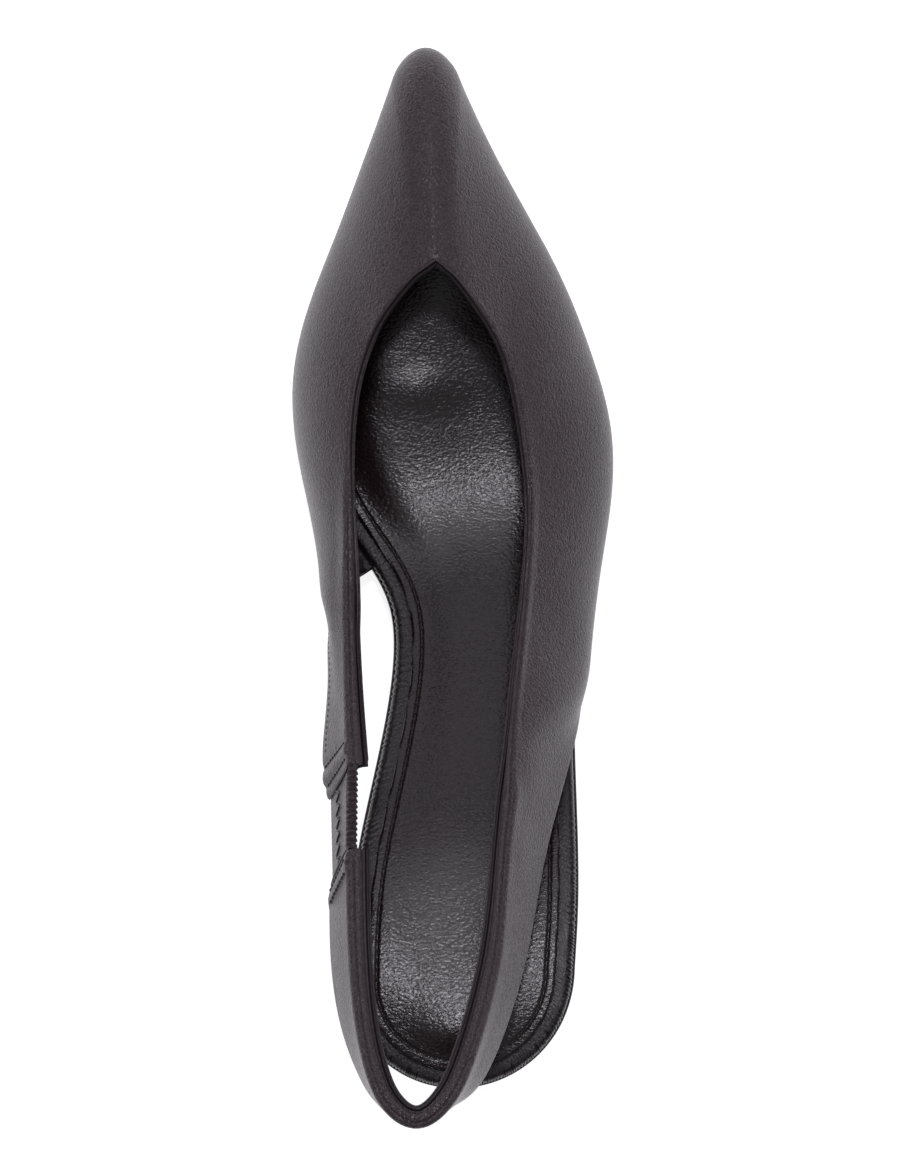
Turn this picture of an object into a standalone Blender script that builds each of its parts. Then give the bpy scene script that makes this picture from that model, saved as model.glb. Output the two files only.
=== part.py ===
"""Women's slingback pump for the right foot, with a pointed toe, a V throat and a slim heel.

The upper is one band of leather that runs round the foot: from the elastic forward along the
inner side, round the toe, back along the outer side, and on as the strap behind the heel.
Lengths are in metres. While the shoe is modelled, Y runs from the back of the sole to the toe,
+X is the outer side of the foot, and Z is up from the floor.
"""

import math
from collections import namedtuple

import bmesh
import bpy
import numpy as np

# Driving sizes of the last and of the shoe
LENGTH = 0.259  # back edge of the sole to the tip of the toe, seen from above
BALL_WIDTH = 0.080  # across the upper at the ball
HEEL_RISE = 0.0525  # how much higher the sole is at the heel than at the ball
TOE_SPRING = 0.0063  # how much the sole lifts at the tip of the toe
COLLAR_HEIGHT = 0.047  # top of the strap above the footbed, behind the ankle

# Thicknesses and clearances
UPPER_WALL = 0.0019
ELASTIC_WALL = 0.0013
OUTSOLE_THICKNESS = 0.0025
FOOTBED_THICKNESS = 0.0045
SOCK_THICKNESS = 0.0014
TOP_PIECE_THICKNESS = 0.0045
GAP = 0.0003  # between pieces that meet

# Margins of the layers of the sole, in from or out from the footbed's edge
OUTSOLE_LIP = 0.0008
SOCK_MARGIN = 0.0040
SOCK_TOE_CUT = 0.0060  # how much shorter than its margin the sock is at the toe
HEEL_MARGIN = 0.0002
TOE_OVERHANG = 0.0028  # how far the toe of the upper reaches past the footbed

# Rounded ends of the sole's outline, and rounded edges of its layers
TOE_ROUND = 0.0050
HEEL_ROUND = 0.0260
OUTSOLE_EDGE = 0.0006
FOOTBED_EDGE = 0.0016

# Heel block and the step of its top piece
HEEL_BREAST = 0.044  # from the back of the sole to the front of the heel block
TOP_PIECE_LIP = 0.0002

# Elastic: how far it stands in from the leather beside it, and the share of the leather's section
# that it leaves free at each edge
ELASTIC_INSET = 0.0004
ELASTIC_TRIM = 0.10

SoleRow = namedtuple("SoleRow", "along medial lateral pitch spring")
# One row for each section of the sole: along is a share of LENGTH, medial and lateral are half
# widths of the footbed as shares of BALL_WIDTH, pitch is a share of HEEL_RISE, and spring is a
# share of TOE_SPRING.
SOLE_ROWS = [
    SoleRow(0.000, 0.331, 0.337, 1.000, 0.00),
    SoleRow(0.050, 0.329, 0.341, 0.985, 0.00),
    SoleRow(0.100, 0.325, 0.350, 0.950, 0.00),
    SoleRow(0.154, 0.315, 0.367, 0.886, 0.00),
    SoleRow(0.212, 0.290, 0.377, 0.785, 0.00),
    SoleRow(0.270, 0.247, 0.380, 0.655, 0.00),
    SoleRow(0.328, 0.200, 0.383, 0.509, 0.00),
    SoleRow(0.378, 0.167, 0.391, 0.376, 0.00),
    SoleRow(0.425, 0.153, 0.407, 0.252, 0.00),
    SoleRow(0.456, 0.164, 0.422, 0.178, 0.00),
    SoleRow(0.486, 0.203, 0.439, 0.116, 0.00),
    SoleRow(0.517, 0.265, 0.459, 0.064, 0.00),
    SoleRow(0.552, 0.332, 0.479, 0.024, 0.00),
    SoleRow(0.591, 0.381, 0.490, 0.003, 0.00),
    SoleRow(0.637, 0.404, 0.478, 0.000, 0.00),
    SoleRow(0.687, 0.395, 0.435, 0.000, 0.00),
    SoleRow(0.741, 0.352, 0.374, 0.000, 0.06),
    SoleRow(0.799, 0.281, 0.298, 0.000, 0.19),
    SoleRow(0.857, 0.201, 0.210, 0.000, 0.38),
    SoleRow(0.919, 0.121, 0.125, 0.000, 0.65),
    SoleRow(0.989, 0.045, 0.045, 0.000, 0.96),
]

# Places round the shoe are told by their turn: 0 at the tip of the toe, growing along the outer
# side to 1 behind the heel and on to the inner side, and falling below 0 along the inner side.
QUARTER_END = -0.628  # where the inner quarter ends at the elastic
STRAP_END = 1.308  # where the strap ends at the elastic
MEDIAL_LEAVE = (-0.548, -0.504)  # the inner cut-out, from the free edge to the sole
LATERAL_LEAVE = (0.552, 0.630)  # the outer quarter, from the sole to the free edge
FAN_END = (0.26, 0.40)  # where sections turn from fanning round the throat to facing sideways
SLANT_START = 1.200  # where the strap's sections start to lean back towards its slanting end
END_SLANT = 0.055  # how far the lower corner of the strap's end lies behind the upper one, by width

EdgeRow = namedtuple("EdgeRow", "turn across along height deep out roll")
# One row for each place on the topline: across is a share of BALL_WIDTH, along is a share of
# LENGTH, and height is the share of COLLAR_HEIGHT above the footbed. The rest tells the free band
# below the topline, as shares of BALL_WIDTH: how deep it is, how far its lower edge stands out,
# and how wide it is rolled over at the top.
EDGE_ROWS = [
    EdgeRow(-0.632, -0.264, 0.305, 0.600, 0.195, 0.116, 0.056),
    EdgeRow(-0.600, -0.272, 0.351, 0.575, 0.170, 0.120, 0.056),
    EdgeRow(-0.560, -0.278, 0.413, 0.602, 0.150, 0.085, 0.052),
    EdgeRow(-0.532, -0.279, 0.457, 0.622, 0.150, 0.129, 0.056),
    EdgeRow(-0.504, -0.2795, 0.498, 0.640, 0.155, 0.181, 0.060),
    EdgeRow(-0.410, -0.277, 0.592, 0.680, 0.200, 0.120, 0.060),
    EdgeRow(-0.350, -0.257, 0.653, 0.688, 0.200, 0.120, 0.060),
    EdgeRow(-0.290, -0.213, 0.702, 0.692, 0.200, 0.120, 0.060),
    EdgeRow(-0.180, -0.123, 0.748, 0.716, 0.200, 0.120, 0.060),
    EdgeRow(-0.080, -0.047, 0.772, 0.736, 0.200, 0.120, 0.060),
    EdgeRow(0.000, 0.011, 0.7785, 0.742, 0.200, 0.120, 0.060),
    EdgeRow(0.080, 0.065, 0.769, 0.735, 0.200, 0.120, 0.060),
    EdgeRow(0.180, 0.140, 0.738, 0.708, 0.200, 0.120, 0.060),
    EdgeRow(0.290, 0.218, 0.690, 0.672, 0.200, 0.120, 0.060),
    EdgeRow(0.410, 0.266, 0.600, 0.655, 0.240, 0.140, 0.065),
    EdgeRow(0.500, 0.265, 0.506, 0.630, 0.290, 0.175, 0.072),
    EdgeRow(0.570, 0.215, 0.390, 0.562, 0.300, 0.215, 0.076),
    EdgeRow(0.630, 0.177, 0.312, 0.560, 0.240, 0.195, 0.068),
    EdgeRow(0.700, 0.142, 0.232, 0.560, 0.195, 0.150, 0.056),
    EdgeRow(0.800, 0.093, 0.131, 0.655, 0.170, 0.119, 0.048),
    EdgeRow(0.900, 0.002, 0.044, 0.885, 0.160, 0.098, 0.042),
    EdgeRow(0.950, -0.045, 0.0165, 0.960, 0.154, 0.070, 0.046),
    EdgeRow(1.000, -0.121, -0.0030, 1.000, 0.150, 0.020, 0.050),
    EdgeRow(1.050, -0.192, 0.0085, 0.970, 0.152, 0.050, 0.049),
    EdgeRow(1.100, -0.232, 0.033, 0.895, 0.156, 0.070, 0.046),
    EdgeRow(1.200, -0.272, 0.112, 0.690, 0.160, 0.098, 0.054),
    EdgeRow(1.308, -0.274, 0.234, 0.585, 0.165, 0.100, 0.056),
]

LastRow = namedtuple("LastRow", "turn under side side_up shoulder drop")
# One row for each section of the lasted upper: how far its control points stand out from its two
# edges, as shares of BALL_WIDTH. Side_up is how high the middle one is, as a share of the
# section's height, and drop is how far the shoulder is below the topline.
LAST_ROWS = [
    LastRow(-0.560, 0.060, 0.430, 0.50, 0.120, 0.110),
    LastRow(-0.504, 0.062, 0.293, 0.46, 0.120, 0.115),
    LastRow(-0.455, 0.058, 0.115, 0.42, 0.108, 0.100),
    LastRow(-0.380, 0.056, 0.105, 0.42, 0.115, 0.095),
    LastRow(-0.300, 0.054, 0.098, 0.42, 0.160, 0.090),
    LastRow(-0.200, 0.054, 0.104, 0.42, 0.250, 0.090),
    LastRow(-0.080, 0.050, 0.075, 0.45, 0.370, 0.103),
    LastRow(0.000, 0.050, 0.085, 0.45, 0.400, 0.108),
    LastRow(0.080, 0.048, 0.065, 0.45, 0.370, 0.103),
    LastRow(0.200, 0.054, 0.103, 0.42, 0.250, 0.090),
    LastRow(0.300, 0.058, 0.142, 0.42, 0.180, 0.090),
    LastRow(0.380, 0.062, 0.150, 0.42, 0.130, 0.095),
    LastRow(0.500, 0.060, 0.125, 0.42, 0.115, 0.095),
    LastRow(0.640, 0.045, 0.125, 0.45, 0.100, 0.085),
]

HeelRow = namedtuple("HeelRow", "down width back front")
# One row for each level of the heel block: down is a share of its height, width is a share of the
# seat's width, and back and front are shares of HEEL_BREAST from the back of the sole.
HEEL_ROWS = [
    HeelRow(0.00, 1.000, 0.023, 1.000),
    HeelRow(0.06, 0.950, 0.027, 0.965),
    HeelRow(0.16, 0.770, 0.058, 0.875),
    HeelRow(0.28, 0.570, 0.108, 0.785),
    HeelRow(0.44, 0.400, 0.172, 0.700),
    HeelRow(0.64, 0.290, 0.232, 0.628),
    HeelRow(0.84, 0.232, 0.268, 0.568),
    HeelRow(1.00, 0.212, 0.284, 0.541),
]

# How finely the solids are divided
SOLE_STEPS = 60
RIB_STEP = 0.019
CORNER_STEP = 0.009
RIB_POINTS = 11
HEEL_STEPS = 12
ELASTIC_RIBS = 7


def natural_spline(knots, values):
    """A smooth curve through the values, without bend at its two ends."""
    knots = np.array(knots, float)
    values = np.array(values, float)
    count = len(knots)
    step = np.diff(knots)
    matrix = np.eye(count)
    right = np.zeros(count)
    for i in range(1, count - 1):
        matrix[i, i - 1 : i + 2] = step[i - 1], 2 * (step[i - 1] + step[i]), step[i]
        rise_after = (values[i + 1] - values[i]) / step[i]
        rise_before = (values[i] - values[i - 1]) / step[i - 1]
        right[i] = 6 * (rise_after - rise_before)
    bend = np.linalg.solve(matrix, right)

    def at(place):
        i = int(np.clip(np.searchsorted(knots, place) - 1, 0, count - 2))
        after = (place - knots[i]) / step[i]
        before = 1 - after
        curve = (before**3 - before) * bend[i] + (after**3 - after) * bend[i + 1]
        return before * values[i] + after * values[i + 1] + curve * step[i] ** 2 / 6

    return at


def columns(rows):
    """A smooth function for each column of a table, told by its first column."""
    names = rows[0]._fields
    knots = [row[0] for row in rows]
    return {
        name: natural_spline(knots, [getattr(row, name) for row in rows])
        for name in names[1:]
    }


SOLE = columns(SOLE_ROWS)
EDGE = columns(EDGE_ROWS)
LAST = columns(LAST_ROWS)
HEEL = columns(HEEL_ROWS)

FOOTBED_BACK = OUTSOLE_LIP
FOOTBED_TOE = LENGTH - TOE_OVERHANG


def smooth_step(value, low, high):
    share = min(max((value - low) / (high - low), 0.0), 1.0)
    return share * share * (3 - 2 * share)


def sole_height(y):
    """Height of the outsole's top face, which lies level across the shoe."""
    along = y / LENGTH
    pitch = max(SOLE["pitch"](along), 0.0)
    spring = max(SOLE["spring"](along), 0.0)
    return OUTSOLE_THICKNESS + HEEL_RISE * pitch + TOE_SPRING * spring


def layer_height(y, above):
    """Height of a face that lies a normal distance above the outsole's top face."""
    reach = 0.001
    slope = (sole_height(y + reach) - sole_height(y - reach)) / (2 * reach)
    return sole_height(y) + above * math.sqrt(1 + slope * slope)


def end_round(distance, size):
    """Narrows the outline towards a rounded end."""
    share = min(max(distance / size, 0.0), 1.0)
    return math.sqrt(1 - (1 - share) ** 2)


def sole_edge(turn, outset, toe_cut=0.0):
    """Point at a turn, a set distance outside the footbed's edge, seen from above."""
    turn = (turn + 1) % 2 - 1
    back = FOOTBED_BACK - outset
    toe = FOOTBED_TOE + outset - toe_cut
    y = back + (toe - back) * (1 + math.cos(math.pi * turn)) / 2
    half_width = SOLE["lateral" if turn >= 0 else "medial"]
    reach = 0.004
    slope = (half_width(y / LENGTH + reach) - half_width(y / LENGTH - reach)) / (2 * reach)
    slope *= BALL_WIDTH / LENGTH
    width = BALL_WIDTH * half_width(y / LENGTH) + outset * math.sqrt(1 + slope * slope)
    width *= end_round(toe - y, TOE_ROUND) * end_round(y - back, HEEL_ROUND + outset)
    return np.array([math.copysign(width, turn), y])


def topline(turn):
    """Point of the upper's top edge at a turn."""
    y = LENGTH * EDGE["along"](turn)
    base = layer_height(y, FOOTBED_THICKNESS)
    return np.array(
        [
            BALL_WIDTH * EDGE["across"](turn),
            y,
            base + COLLAR_HEIGHT * EDGE["height"](turn),
        ]
    )


def squareness(turn):
    """How square to the topline a section is: 1 at the band's two ends, and 0 where upright."""
    at_quarter = 1 - smooth_step(turn, QUARTER_END, QUARTER_END + 0.12)
    return max(at_quarter, smooth_step(turn, STRAP_END - 0.24, STRAP_END))


def band_frame(turn):
    """Directions at the topline: level and outward, and down across the band."""
    reach = 0.004
    run = topline(turn + reach) - topline(turn - reach)
    run[2] *= squareness(turn)
    run /= np.linalg.norm(run)
    level = np.array([-run[1], run[0], 0.0])
    level /= np.linalg.norm(level)
    down = np.cross(level, run)
    return level, down / np.linalg.norm(down)


def grip(turn):
    """How far a section of the upper is held on the sole: 1 where lasted, 0 on the free band."""
    low, high = MEDIAL_LEAVE
    medial = min(max((turn - low) / (high - low), 0.0), 1.0)
    return medial**1.35 * (1 - smooth_step(turn, *LATERAL_LEAVE))


def free_controls(turn):
    """Control points of the free band's section, from the lower edge to the topline."""
    top = topline(turn)
    level, down = band_frame(turn)
    deep, out, roll = (BALL_WIDTH * EDGE[name](turn) for name in ("deep", "out", "roll"))
    lean = out - roll
    places = [
        (out, deep),
        (roll + 0.65 * lean, 0.70 * deep),
        (roll + 0.25 * lean, 0.42 * deep),
        (roll, 0.03 * deep),
        (0, 0),
    ]
    slant = BALL_WIDTH * END_SLANT * smooth_step(turn, SLANT_START, STRAP_END)
    back = slant / deep * np.cross(level, down)
    return np.array([top + across * level + below * (down + back) for across, below in places])


def level_unit(vector):
    """The level part of a direction, at unit length."""
    level = np.array([vector[0], vector[1], 0.0])
    return level / np.linalg.norm(level)


def lasted_controls(turn):
    """Control points of the section that is held on the sole, from the sole to the topline."""
    held = grip(turn)
    turned_up = UPPER_WALL * 4 * held * (1 - held)
    x, y = sole_edge(turn, 2 * GAP + turned_up)
    low = np.array([x, y, sole_height(y) + GAP])
    top = topline(turn)
    reach = 0.01
    along = sole_edge(turn + reach, 0) - sole_edge(turn - reach, 0)
    away = level_unit((-along[1], along[0]))
    level, _ = band_frame(turn)
    beside = smooth_step(abs(turn), *FAN_END)
    facing = level_unit((1 - beside) * level_unit(low - top) + beside * level)
    rise = np.array([0, 0, top[2] - low[2]])
    under = low + BALL_WIDTH * LAST["under"](turn) * away
    side = low + BALL_WIDTH * LAST["side"](turn) * away + LAST["side_up"](turn) * rise
    shoulder = top + BALL_WIDTH * LAST["shoulder"](turn) * facing
    shoulder[2] -= BALL_WIDTH * LAST["drop"](turn)
    return np.array([low, under, side, shoulder, top])


def rib(turn, count, trim=0.0):
    """Points of the band's outer face from the lower edge to the topline."""
    held = grip(turn)
    controls = np.zeros((5, 3))
    if held < 1:
        controls += (1 - held) * free_controls(turn)
    if held > 0:
        controls += held * lasted_controls(turn)
    weights = (1, 4, 6, 4, 1)
    points = []
    for k in range(count):
        share = trim + (1 - 2 * trim) * (1 - math.cos(math.pi * k / (count - 1))) / 2
        parts = [weights[n] * share**n * (1 - share) ** (4 - n) for n in range(5)]
        points.append(parts @ controls)
    return points


def material(name, colour, roughness, metallic=0.0):
    made = bpy.data.materials.new(name)
    made.use_nodes = True
    shader = made.node_tree.nodes["Principled BSDF"]
    shader.inputs["Base Color"].default_value = (*colour, 1.0)
    shader.inputs["Roughness"].default_value = roughness
    shader.inputs["Metallic"].default_value = metallic
    return made


def new_object(name, points, faces, finish, collection):
    """A mesh object from points and faces, shaded smooth except at its edges."""
    mesh = bpy.data.meshes.new(name)
    mesh.from_pydata([tuple(p) for p in points], [], faces)
    mesh.materials.append(finish)
    work = bmesh.new()
    work.from_mesh(mesh)
    bmesh.ops.recalc_face_normals(work, faces=work.faces)
    work.to_mesh(mesh)
    work.free()
    mesh.shade_smooth()
    mesh.set_sharp_from_angle(angle=math.radians(40))
    made = bpy.data.objects.new(name, mesh)
    collection.objects.link(made)
    return made


def shell(name, ribs, wall, finish, collection):
    """A leather or elastic band: its outer face lofted through ribs, and a wall inside it."""
    count = len(ribs[0])
    faces = []
    for i in range(len(ribs) - 1):
        for j in range(count - 1):
            a = i * count + j
            faces.append((a, a + 1, a + count + 1, a + count))
    mesh = bpy.data.meshes.new(name)
    mesh.from_pydata([tuple(point) for points in ribs for point in points], [], faces)
    mesh.materials.append(finish)
    mesh.shade_smooth()
    made = bpy.data.objects.new(name, mesh)
    collection.objects.link(made)
    solid = made.modifiers.new("wall", "SOLIDIFY")
    solid.thickness = wall
    solid.offset = -1
    return made


def plate(name, rings, finish, collection, toe_cut=0.0):
    """A layer of the sole: rings of (outset, height above the outsole), from bottom to top."""
    turns = [k / SOLE_STEPS for k in range(-SOLE_STEPS, SOLE_STEPS)]
    size = len(turns)
    points = []
    for outset, above in rings:
        for turn in turns:
            x, y = sole_edge(turn, outset, toe_cut)
            points.append((x, y, layer_height(y, above)))
    faces = []
    for k in range(len(rings) - 1):
        for i in range(size):
            j = (i + 1) % size
            faces.append((k * size + i, k * size + j, (k + 1) * size + j, (k + 1) * size + i))
    for k in (0, len(rings) - 1):
        for i in range(SOLE_STEPS):
            a = k * size + i
            b = k * size + i + 1
            c = k * size + (size - i - 1) % size
            d = k * size + (size - i) % size
            faces.append(tuple(dict.fromkeys((a, b, c, d))))
    return new_object(name, points, faces, finish, collection)


def heel_seat_points():
    """Edge of the heel block's top from the breast round the back, seen from above."""
    back = FOOTBED_BACK + HEEL_MARGIN
    toe = FOOTBED_TOE - HEEL_MARGIN
    spread = math.acos(1 - 2 * (HEEL_BREAST - back) / (toe - back)) / math.pi
    turns = [1 - spread * (1 - k / HEEL_STEPS) for k in range(2 * HEEL_STEPS + 1)]
    return [sole_edge(turn, -HEEL_MARGIN) for turn in turns]


def heel_level(down):
    """Outline of the heel block at one level, as points (x, y), and its share of the drop."""
    seat = heel_seat_points()
    middle = (seat[0][0] + seat[-1][0]) / 2
    back = min(p[1] for p in seat)
    front = seat[0][1]
    width = HEEL["width"](down)
    near = HEEL_BREAST * HEEL["back"](down)
    far = HEEL_BREAST * HEEL["front"](down)
    level = []
    for x, y in seat:
        share = (y - back) / (front - back)
        centre = middle * (1 - width) * 0.8
        level.append((centre + x * width, near + share * (far - near)))
    return level


def ladder_faces(start, size, flip):
    """Faces across a level whose points run from one front corner round to the other."""
    faces = []
    for i in range(size // 2):
        a = start + i
        b = start + i + 1
        c = start + size - 2 - i
        d = start + size - 1 - i
        corners = tuple(dict.fromkeys((a, b, c, d)))
        faces.append(corners[::-1] if flip else corners)
    return faces


def heel_block(finish, collection):
    """The heel: levels that narrow from the seat under the sole to the top piece."""
    points = []
    foot = TOP_PIECE_THICKNESS + GAP
    downs = [row.down for row in HEEL_ROWS]
    downs = sorted(downs + [(a + b) / 2 for a, b in zip(downs[1:], downs[2:])])
    for down in downs:
        for x, y in heel_level(down):
            seat = layer_height(y, -OUTSOLE_THICKNESS - GAP)
            points.append((x, y, seat + down * (foot - seat)))
    size = 2 * HEEL_STEPS + 1
    faces = ladder_faces(0, size, False)
    faces += ladder_faces((len(downs) - 1) * size, size, True)
    for k in range(len(downs) - 1):
        for i in range(size):
            j = (i + 1) % size
            faces.append((k * size + i, k * size + j, (k + 1) * size + j, (k + 1) * size + i))
    return new_object("heel", points, faces, finish, collection)


def top_piece(finish, collection):
    """The rubber piece under the heel, flat on the floor."""
    outline = np.array(heel_level(1.0))
    centre = outline.mean(axis=0)
    reach = np.linalg.norm(outline - centre, axis=1).max()
    outline = centre + (outline - centre) * (1 + TOP_PIECE_LIP / reach)
    curve = bpy.data.curves.new("top_piece", "CURVE")
    curve.dimensions = "2D"
    curve.fill_mode = "BOTH"
    curve.extrude = TOP_PIECE_THICKNESS / 2
    line = curve.splines.new("POLY")
    line.points.add(len(outline) - 1)
    for point, (x, y) in zip(line.points, outline):
        point.co = (x, y, 0, 1)
    line.use_cyclic_u = True
    curve.materials.append(finish)
    made = bpy.data.objects.new("top_piece", curve)
    made.location.z = TOP_PIECE_THICKNESS / 2
    collection.objects.link(made)
    return made


def rib_turns():
    """Turns of the upper's ribs, closer together at the inner cut-out."""
    low, high = MEDIAL_LEAVE
    parts = [(QUARTER_END, low, RIB_STEP), (low, high, CORNER_STEP), (high, STRAP_END, RIB_STEP)]
    turns = []
    for start, end, step in parts:
        count = max(1, round((end - start) / step))
        turns += [start + (end - start) * k / count for k in range(count)]
    return turns + [STRAP_END]


def elastic(finish, collection):
    """The elastic that joins the strap to the inner quarter, straight between their ends."""
    first = np.array(rib(STRAP_END, RIB_POINTS, ELASTIC_TRIM))
    last = np.array(rib(QUARTER_END, RIB_POINTS, ELASTIC_TRIM))
    margin = GAP / np.linalg.norm(last.mean(axis=0) - first.mean(axis=0))
    shares = np.linspace(margin, 1 - margin, ELASTIC_RIBS)
    ribs = [first + share * (last - first) for share in shares]
    made = shell("elastic", ribs, ELASTIC_WALL, finish, collection)
    normals = [vertex.normal.copy() for vertex in made.data.vertices]
    for vertex, normal in zip(made.data.vertices, normals):
        vertex.co -= ELASTIC_INSET * normal
    return made


def centre_over_floor(collection):
    """Parents every piece to an empty, placed so that the shoe stands centred over the origin."""
    graph = bpy.context.evaluated_depsgraph_get()
    points = []
    for made in collection.objects:
        ready = made.evaluated_get(graph)
        points += [ready.matrix_world @ vertex.co for vertex in ready.to_mesh().vertices]
        ready.to_mesh_clear()
    low = np.min(points, axis=0)
    high = np.max(points, axis=0)
    carrier = bpy.data.objects.new("slingback_pump", None)
    for made in list(collection.objects):
        made.parent = carrier
    collection.objects.link(carrier)
    carrier.location = (-(low[0] + high[0]) / 2, -(low[1] + high[1]) / 2, 0)


def main():
    for old in list(bpy.data.objects):
        bpy.data.objects.remove(old)
    collection = bpy.data.collections.new("slingback pump")
    bpy.context.scene.collection.children.link(collection)

    leather = material("nappa leather", (0.060, 0.046, 0.054), 0.42)
    lining = material("lining leather", (0.018, 0.013, 0.015), 0.38)
    sole = material("sole leather", (0.012, 0.010, 0.010), 0.45)
    rubber = material("rubber", (0.010, 0.010, 0.010), 0.70)
    stretch = material("elastic", (0.060, 0.048, 0.056), 0.75)

    plate(
        "outsole",
        [
            (OUTSOLE_LIP - OUTSOLE_EDGE, -OUTSOLE_THICKNESS),
            (OUTSOLE_LIP, OUTSOLE_EDGE - OUTSOLE_THICKNESS),
            (OUTSOLE_LIP, -OUTSOLE_EDGE / 2),
            (OUTSOLE_LIP - OUTSOLE_EDGE / 2, 0),
        ],
        sole,
        collection,
    )
    plate(
        "footbed",
        [
            (-OUTSOLE_EDGE, GAP),
            (0, GAP + OUTSOLE_EDGE),
            (0, FOOTBED_THICKNESS - FOOTBED_EDGE),
            (-0.3 * FOOTBED_EDGE, FOOTBED_THICKNESS - 0.3 * FOOTBED_EDGE),
            (-FOOTBED_EDGE, FOOTBED_THICKNESS),
        ],
        lining,
        collection,
    )
    base = FOOTBED_THICKNESS + GAP
    plate(
        "sock",
        [
            (-SOCK_MARGIN, base),
            (-SOCK_MARGIN, base + 0.5 * SOCK_THICKNESS),
            (-SOCK_MARGIN - OUTSOLE_EDGE, base + SOCK_THICKNESS),
        ],
        lining,
        collection,
        SOCK_TOE_CUT,
    )
    heel_block(leather, collection)
    top_piece(rubber, collection)
    ribs = [rib(turn, RIB_POINTS) for turn in rib_turns()]
    shell("upper", ribs, UPPER_WALL, leather, collection)
    elastic(stretch, collection)
    centre_over_floor(collection)


main()
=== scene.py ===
"""Looks of a women's slingback pump for the right foot, built around its solids.

Every piece is made in metres in the shoe's own frame, where Y runs from the back of the sole to
the toe, +X is the outer side of the foot and Z is up from the floor, and is then moved into the
model's frame. Where a piece replaces a solid, it keeps that solid's form and adds its detail.
"""

import math
from collections import namedtuple

import bmesh
import bpy
import numpy as np
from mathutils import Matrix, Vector


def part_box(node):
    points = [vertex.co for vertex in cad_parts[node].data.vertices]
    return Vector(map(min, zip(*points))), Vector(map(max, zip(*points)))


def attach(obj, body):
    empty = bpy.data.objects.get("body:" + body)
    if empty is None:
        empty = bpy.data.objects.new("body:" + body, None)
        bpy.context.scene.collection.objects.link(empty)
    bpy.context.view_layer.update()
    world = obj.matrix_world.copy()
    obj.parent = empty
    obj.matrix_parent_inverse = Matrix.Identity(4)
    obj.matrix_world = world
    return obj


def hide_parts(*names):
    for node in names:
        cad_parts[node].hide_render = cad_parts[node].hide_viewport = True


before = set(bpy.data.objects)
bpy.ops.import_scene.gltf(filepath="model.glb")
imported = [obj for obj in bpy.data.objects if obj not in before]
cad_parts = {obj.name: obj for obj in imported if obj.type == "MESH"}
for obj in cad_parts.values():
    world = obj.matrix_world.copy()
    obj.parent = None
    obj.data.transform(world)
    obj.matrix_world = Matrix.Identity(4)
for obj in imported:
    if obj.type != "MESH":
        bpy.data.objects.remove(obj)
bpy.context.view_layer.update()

# Driving sizes of the shoe, the same as the solids have
LENGTH = 0.259
BALL_WIDTH = 0.080
HEEL_RISE = 0.0525
TOE_SPRING = 0.0063
COLLAR_HEIGHT = 0.047
UPPER_WALL = 0.0019
OUTSOLE_THICKNESS = 0.0025
FOOTBED_THICKNESS = 0.0045
SOCK_THICKNESS = 0.0014
TOP_PIECE_THICKNESS = 0.0045
GAP = 0.0003
OUTSOLE_LIP = 0.0008
SOCK_MARGIN = 0.0040
SOCK_TOE_CUT = 0.0060
HEEL_MARGIN = 0.0002
TOE_OVERHANG = 0.0028
TOE_ROUND = 0.0050
HEEL_ROUND = 0.0260
HEEL_BREAST = 0.044
TOP_PIECE_LIP = 0.0002

# Layers of the upper, as depths inside its outer face
LEATHER_INSIDE = 0.00115
LINING_OUTSIDE = 0.00122
LINING_INSIDE = 0.00186

THROAT_POINT = 0.0013  # how far the throat's folded edge is drawn to a point
THROAT_TURN = 0.055  # over how many turns to each side it is drawn
BAND_BEND = 0.0009  # half the length over which the folded band turns into the outer face

# How finely the pieces are divided
CURVE_POINTS = 400
TURN_STEP = 0.005
LEAVE_STEP = 0.002
BAND_POINTS = 15
BEND_POINTS = 6
FACE_POINTS = 10
LOWER_POINTS = 24
CAP_POINTS = 3


def rows(kind, values):
    """Rows of a table with named columns."""
    return [kind(*row) for row in values]


SoleRow = namedtuple("SoleRow", "along medial lateral pitch spring")
# One row for each section of the sole, as shares: along of LENGTH, the half widths of BALL_WIDTH,
# pitch of HEEL_RISE and spring of TOE_SPRING.
SOLE_ROWS = rows(SoleRow, [
    (0.000, 0.331, 0.337, 1.000, 0.00),
    (0.050, 0.329, 0.341, 0.985, 0.00),
    (0.100, 0.325, 0.350, 0.950, 0.00),
    (0.154, 0.315, 0.367, 0.886, 0.00),
    (0.212, 0.290, 0.377, 0.785, 0.00),
    (0.270, 0.247, 0.380, 0.655, 0.00),
    (0.328, 0.200, 0.383, 0.509, 0.00),
    (0.378, 0.167, 0.391, 0.376, 0.00),
    (0.425, 0.153, 0.407, 0.252, 0.00),
    (0.456, 0.164, 0.422, 0.178, 0.00),
    (0.486, 0.203, 0.439, 0.116, 0.00),
    (0.517, 0.265, 0.459, 0.064, 0.00),
    (0.552, 0.332, 0.479, 0.024, 0.00),
    (0.591, 0.381, 0.490, 0.003, 0.00),
    (0.637, 0.404, 0.478, 0.000, 0.00),
    (0.687, 0.395, 0.435, 0.000, 0.00),
    (0.741, 0.352, 0.374, 0.000, 0.06),
    (0.799, 0.281, 0.298, 0.000, 0.19),
    (0.857, 0.201, 0.210, 0.000, 0.38),
    (0.919, 0.121, 0.125, 0.000, 0.65),
    (0.989, 0.045, 0.045, 0.000, 0.96),
])

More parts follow.
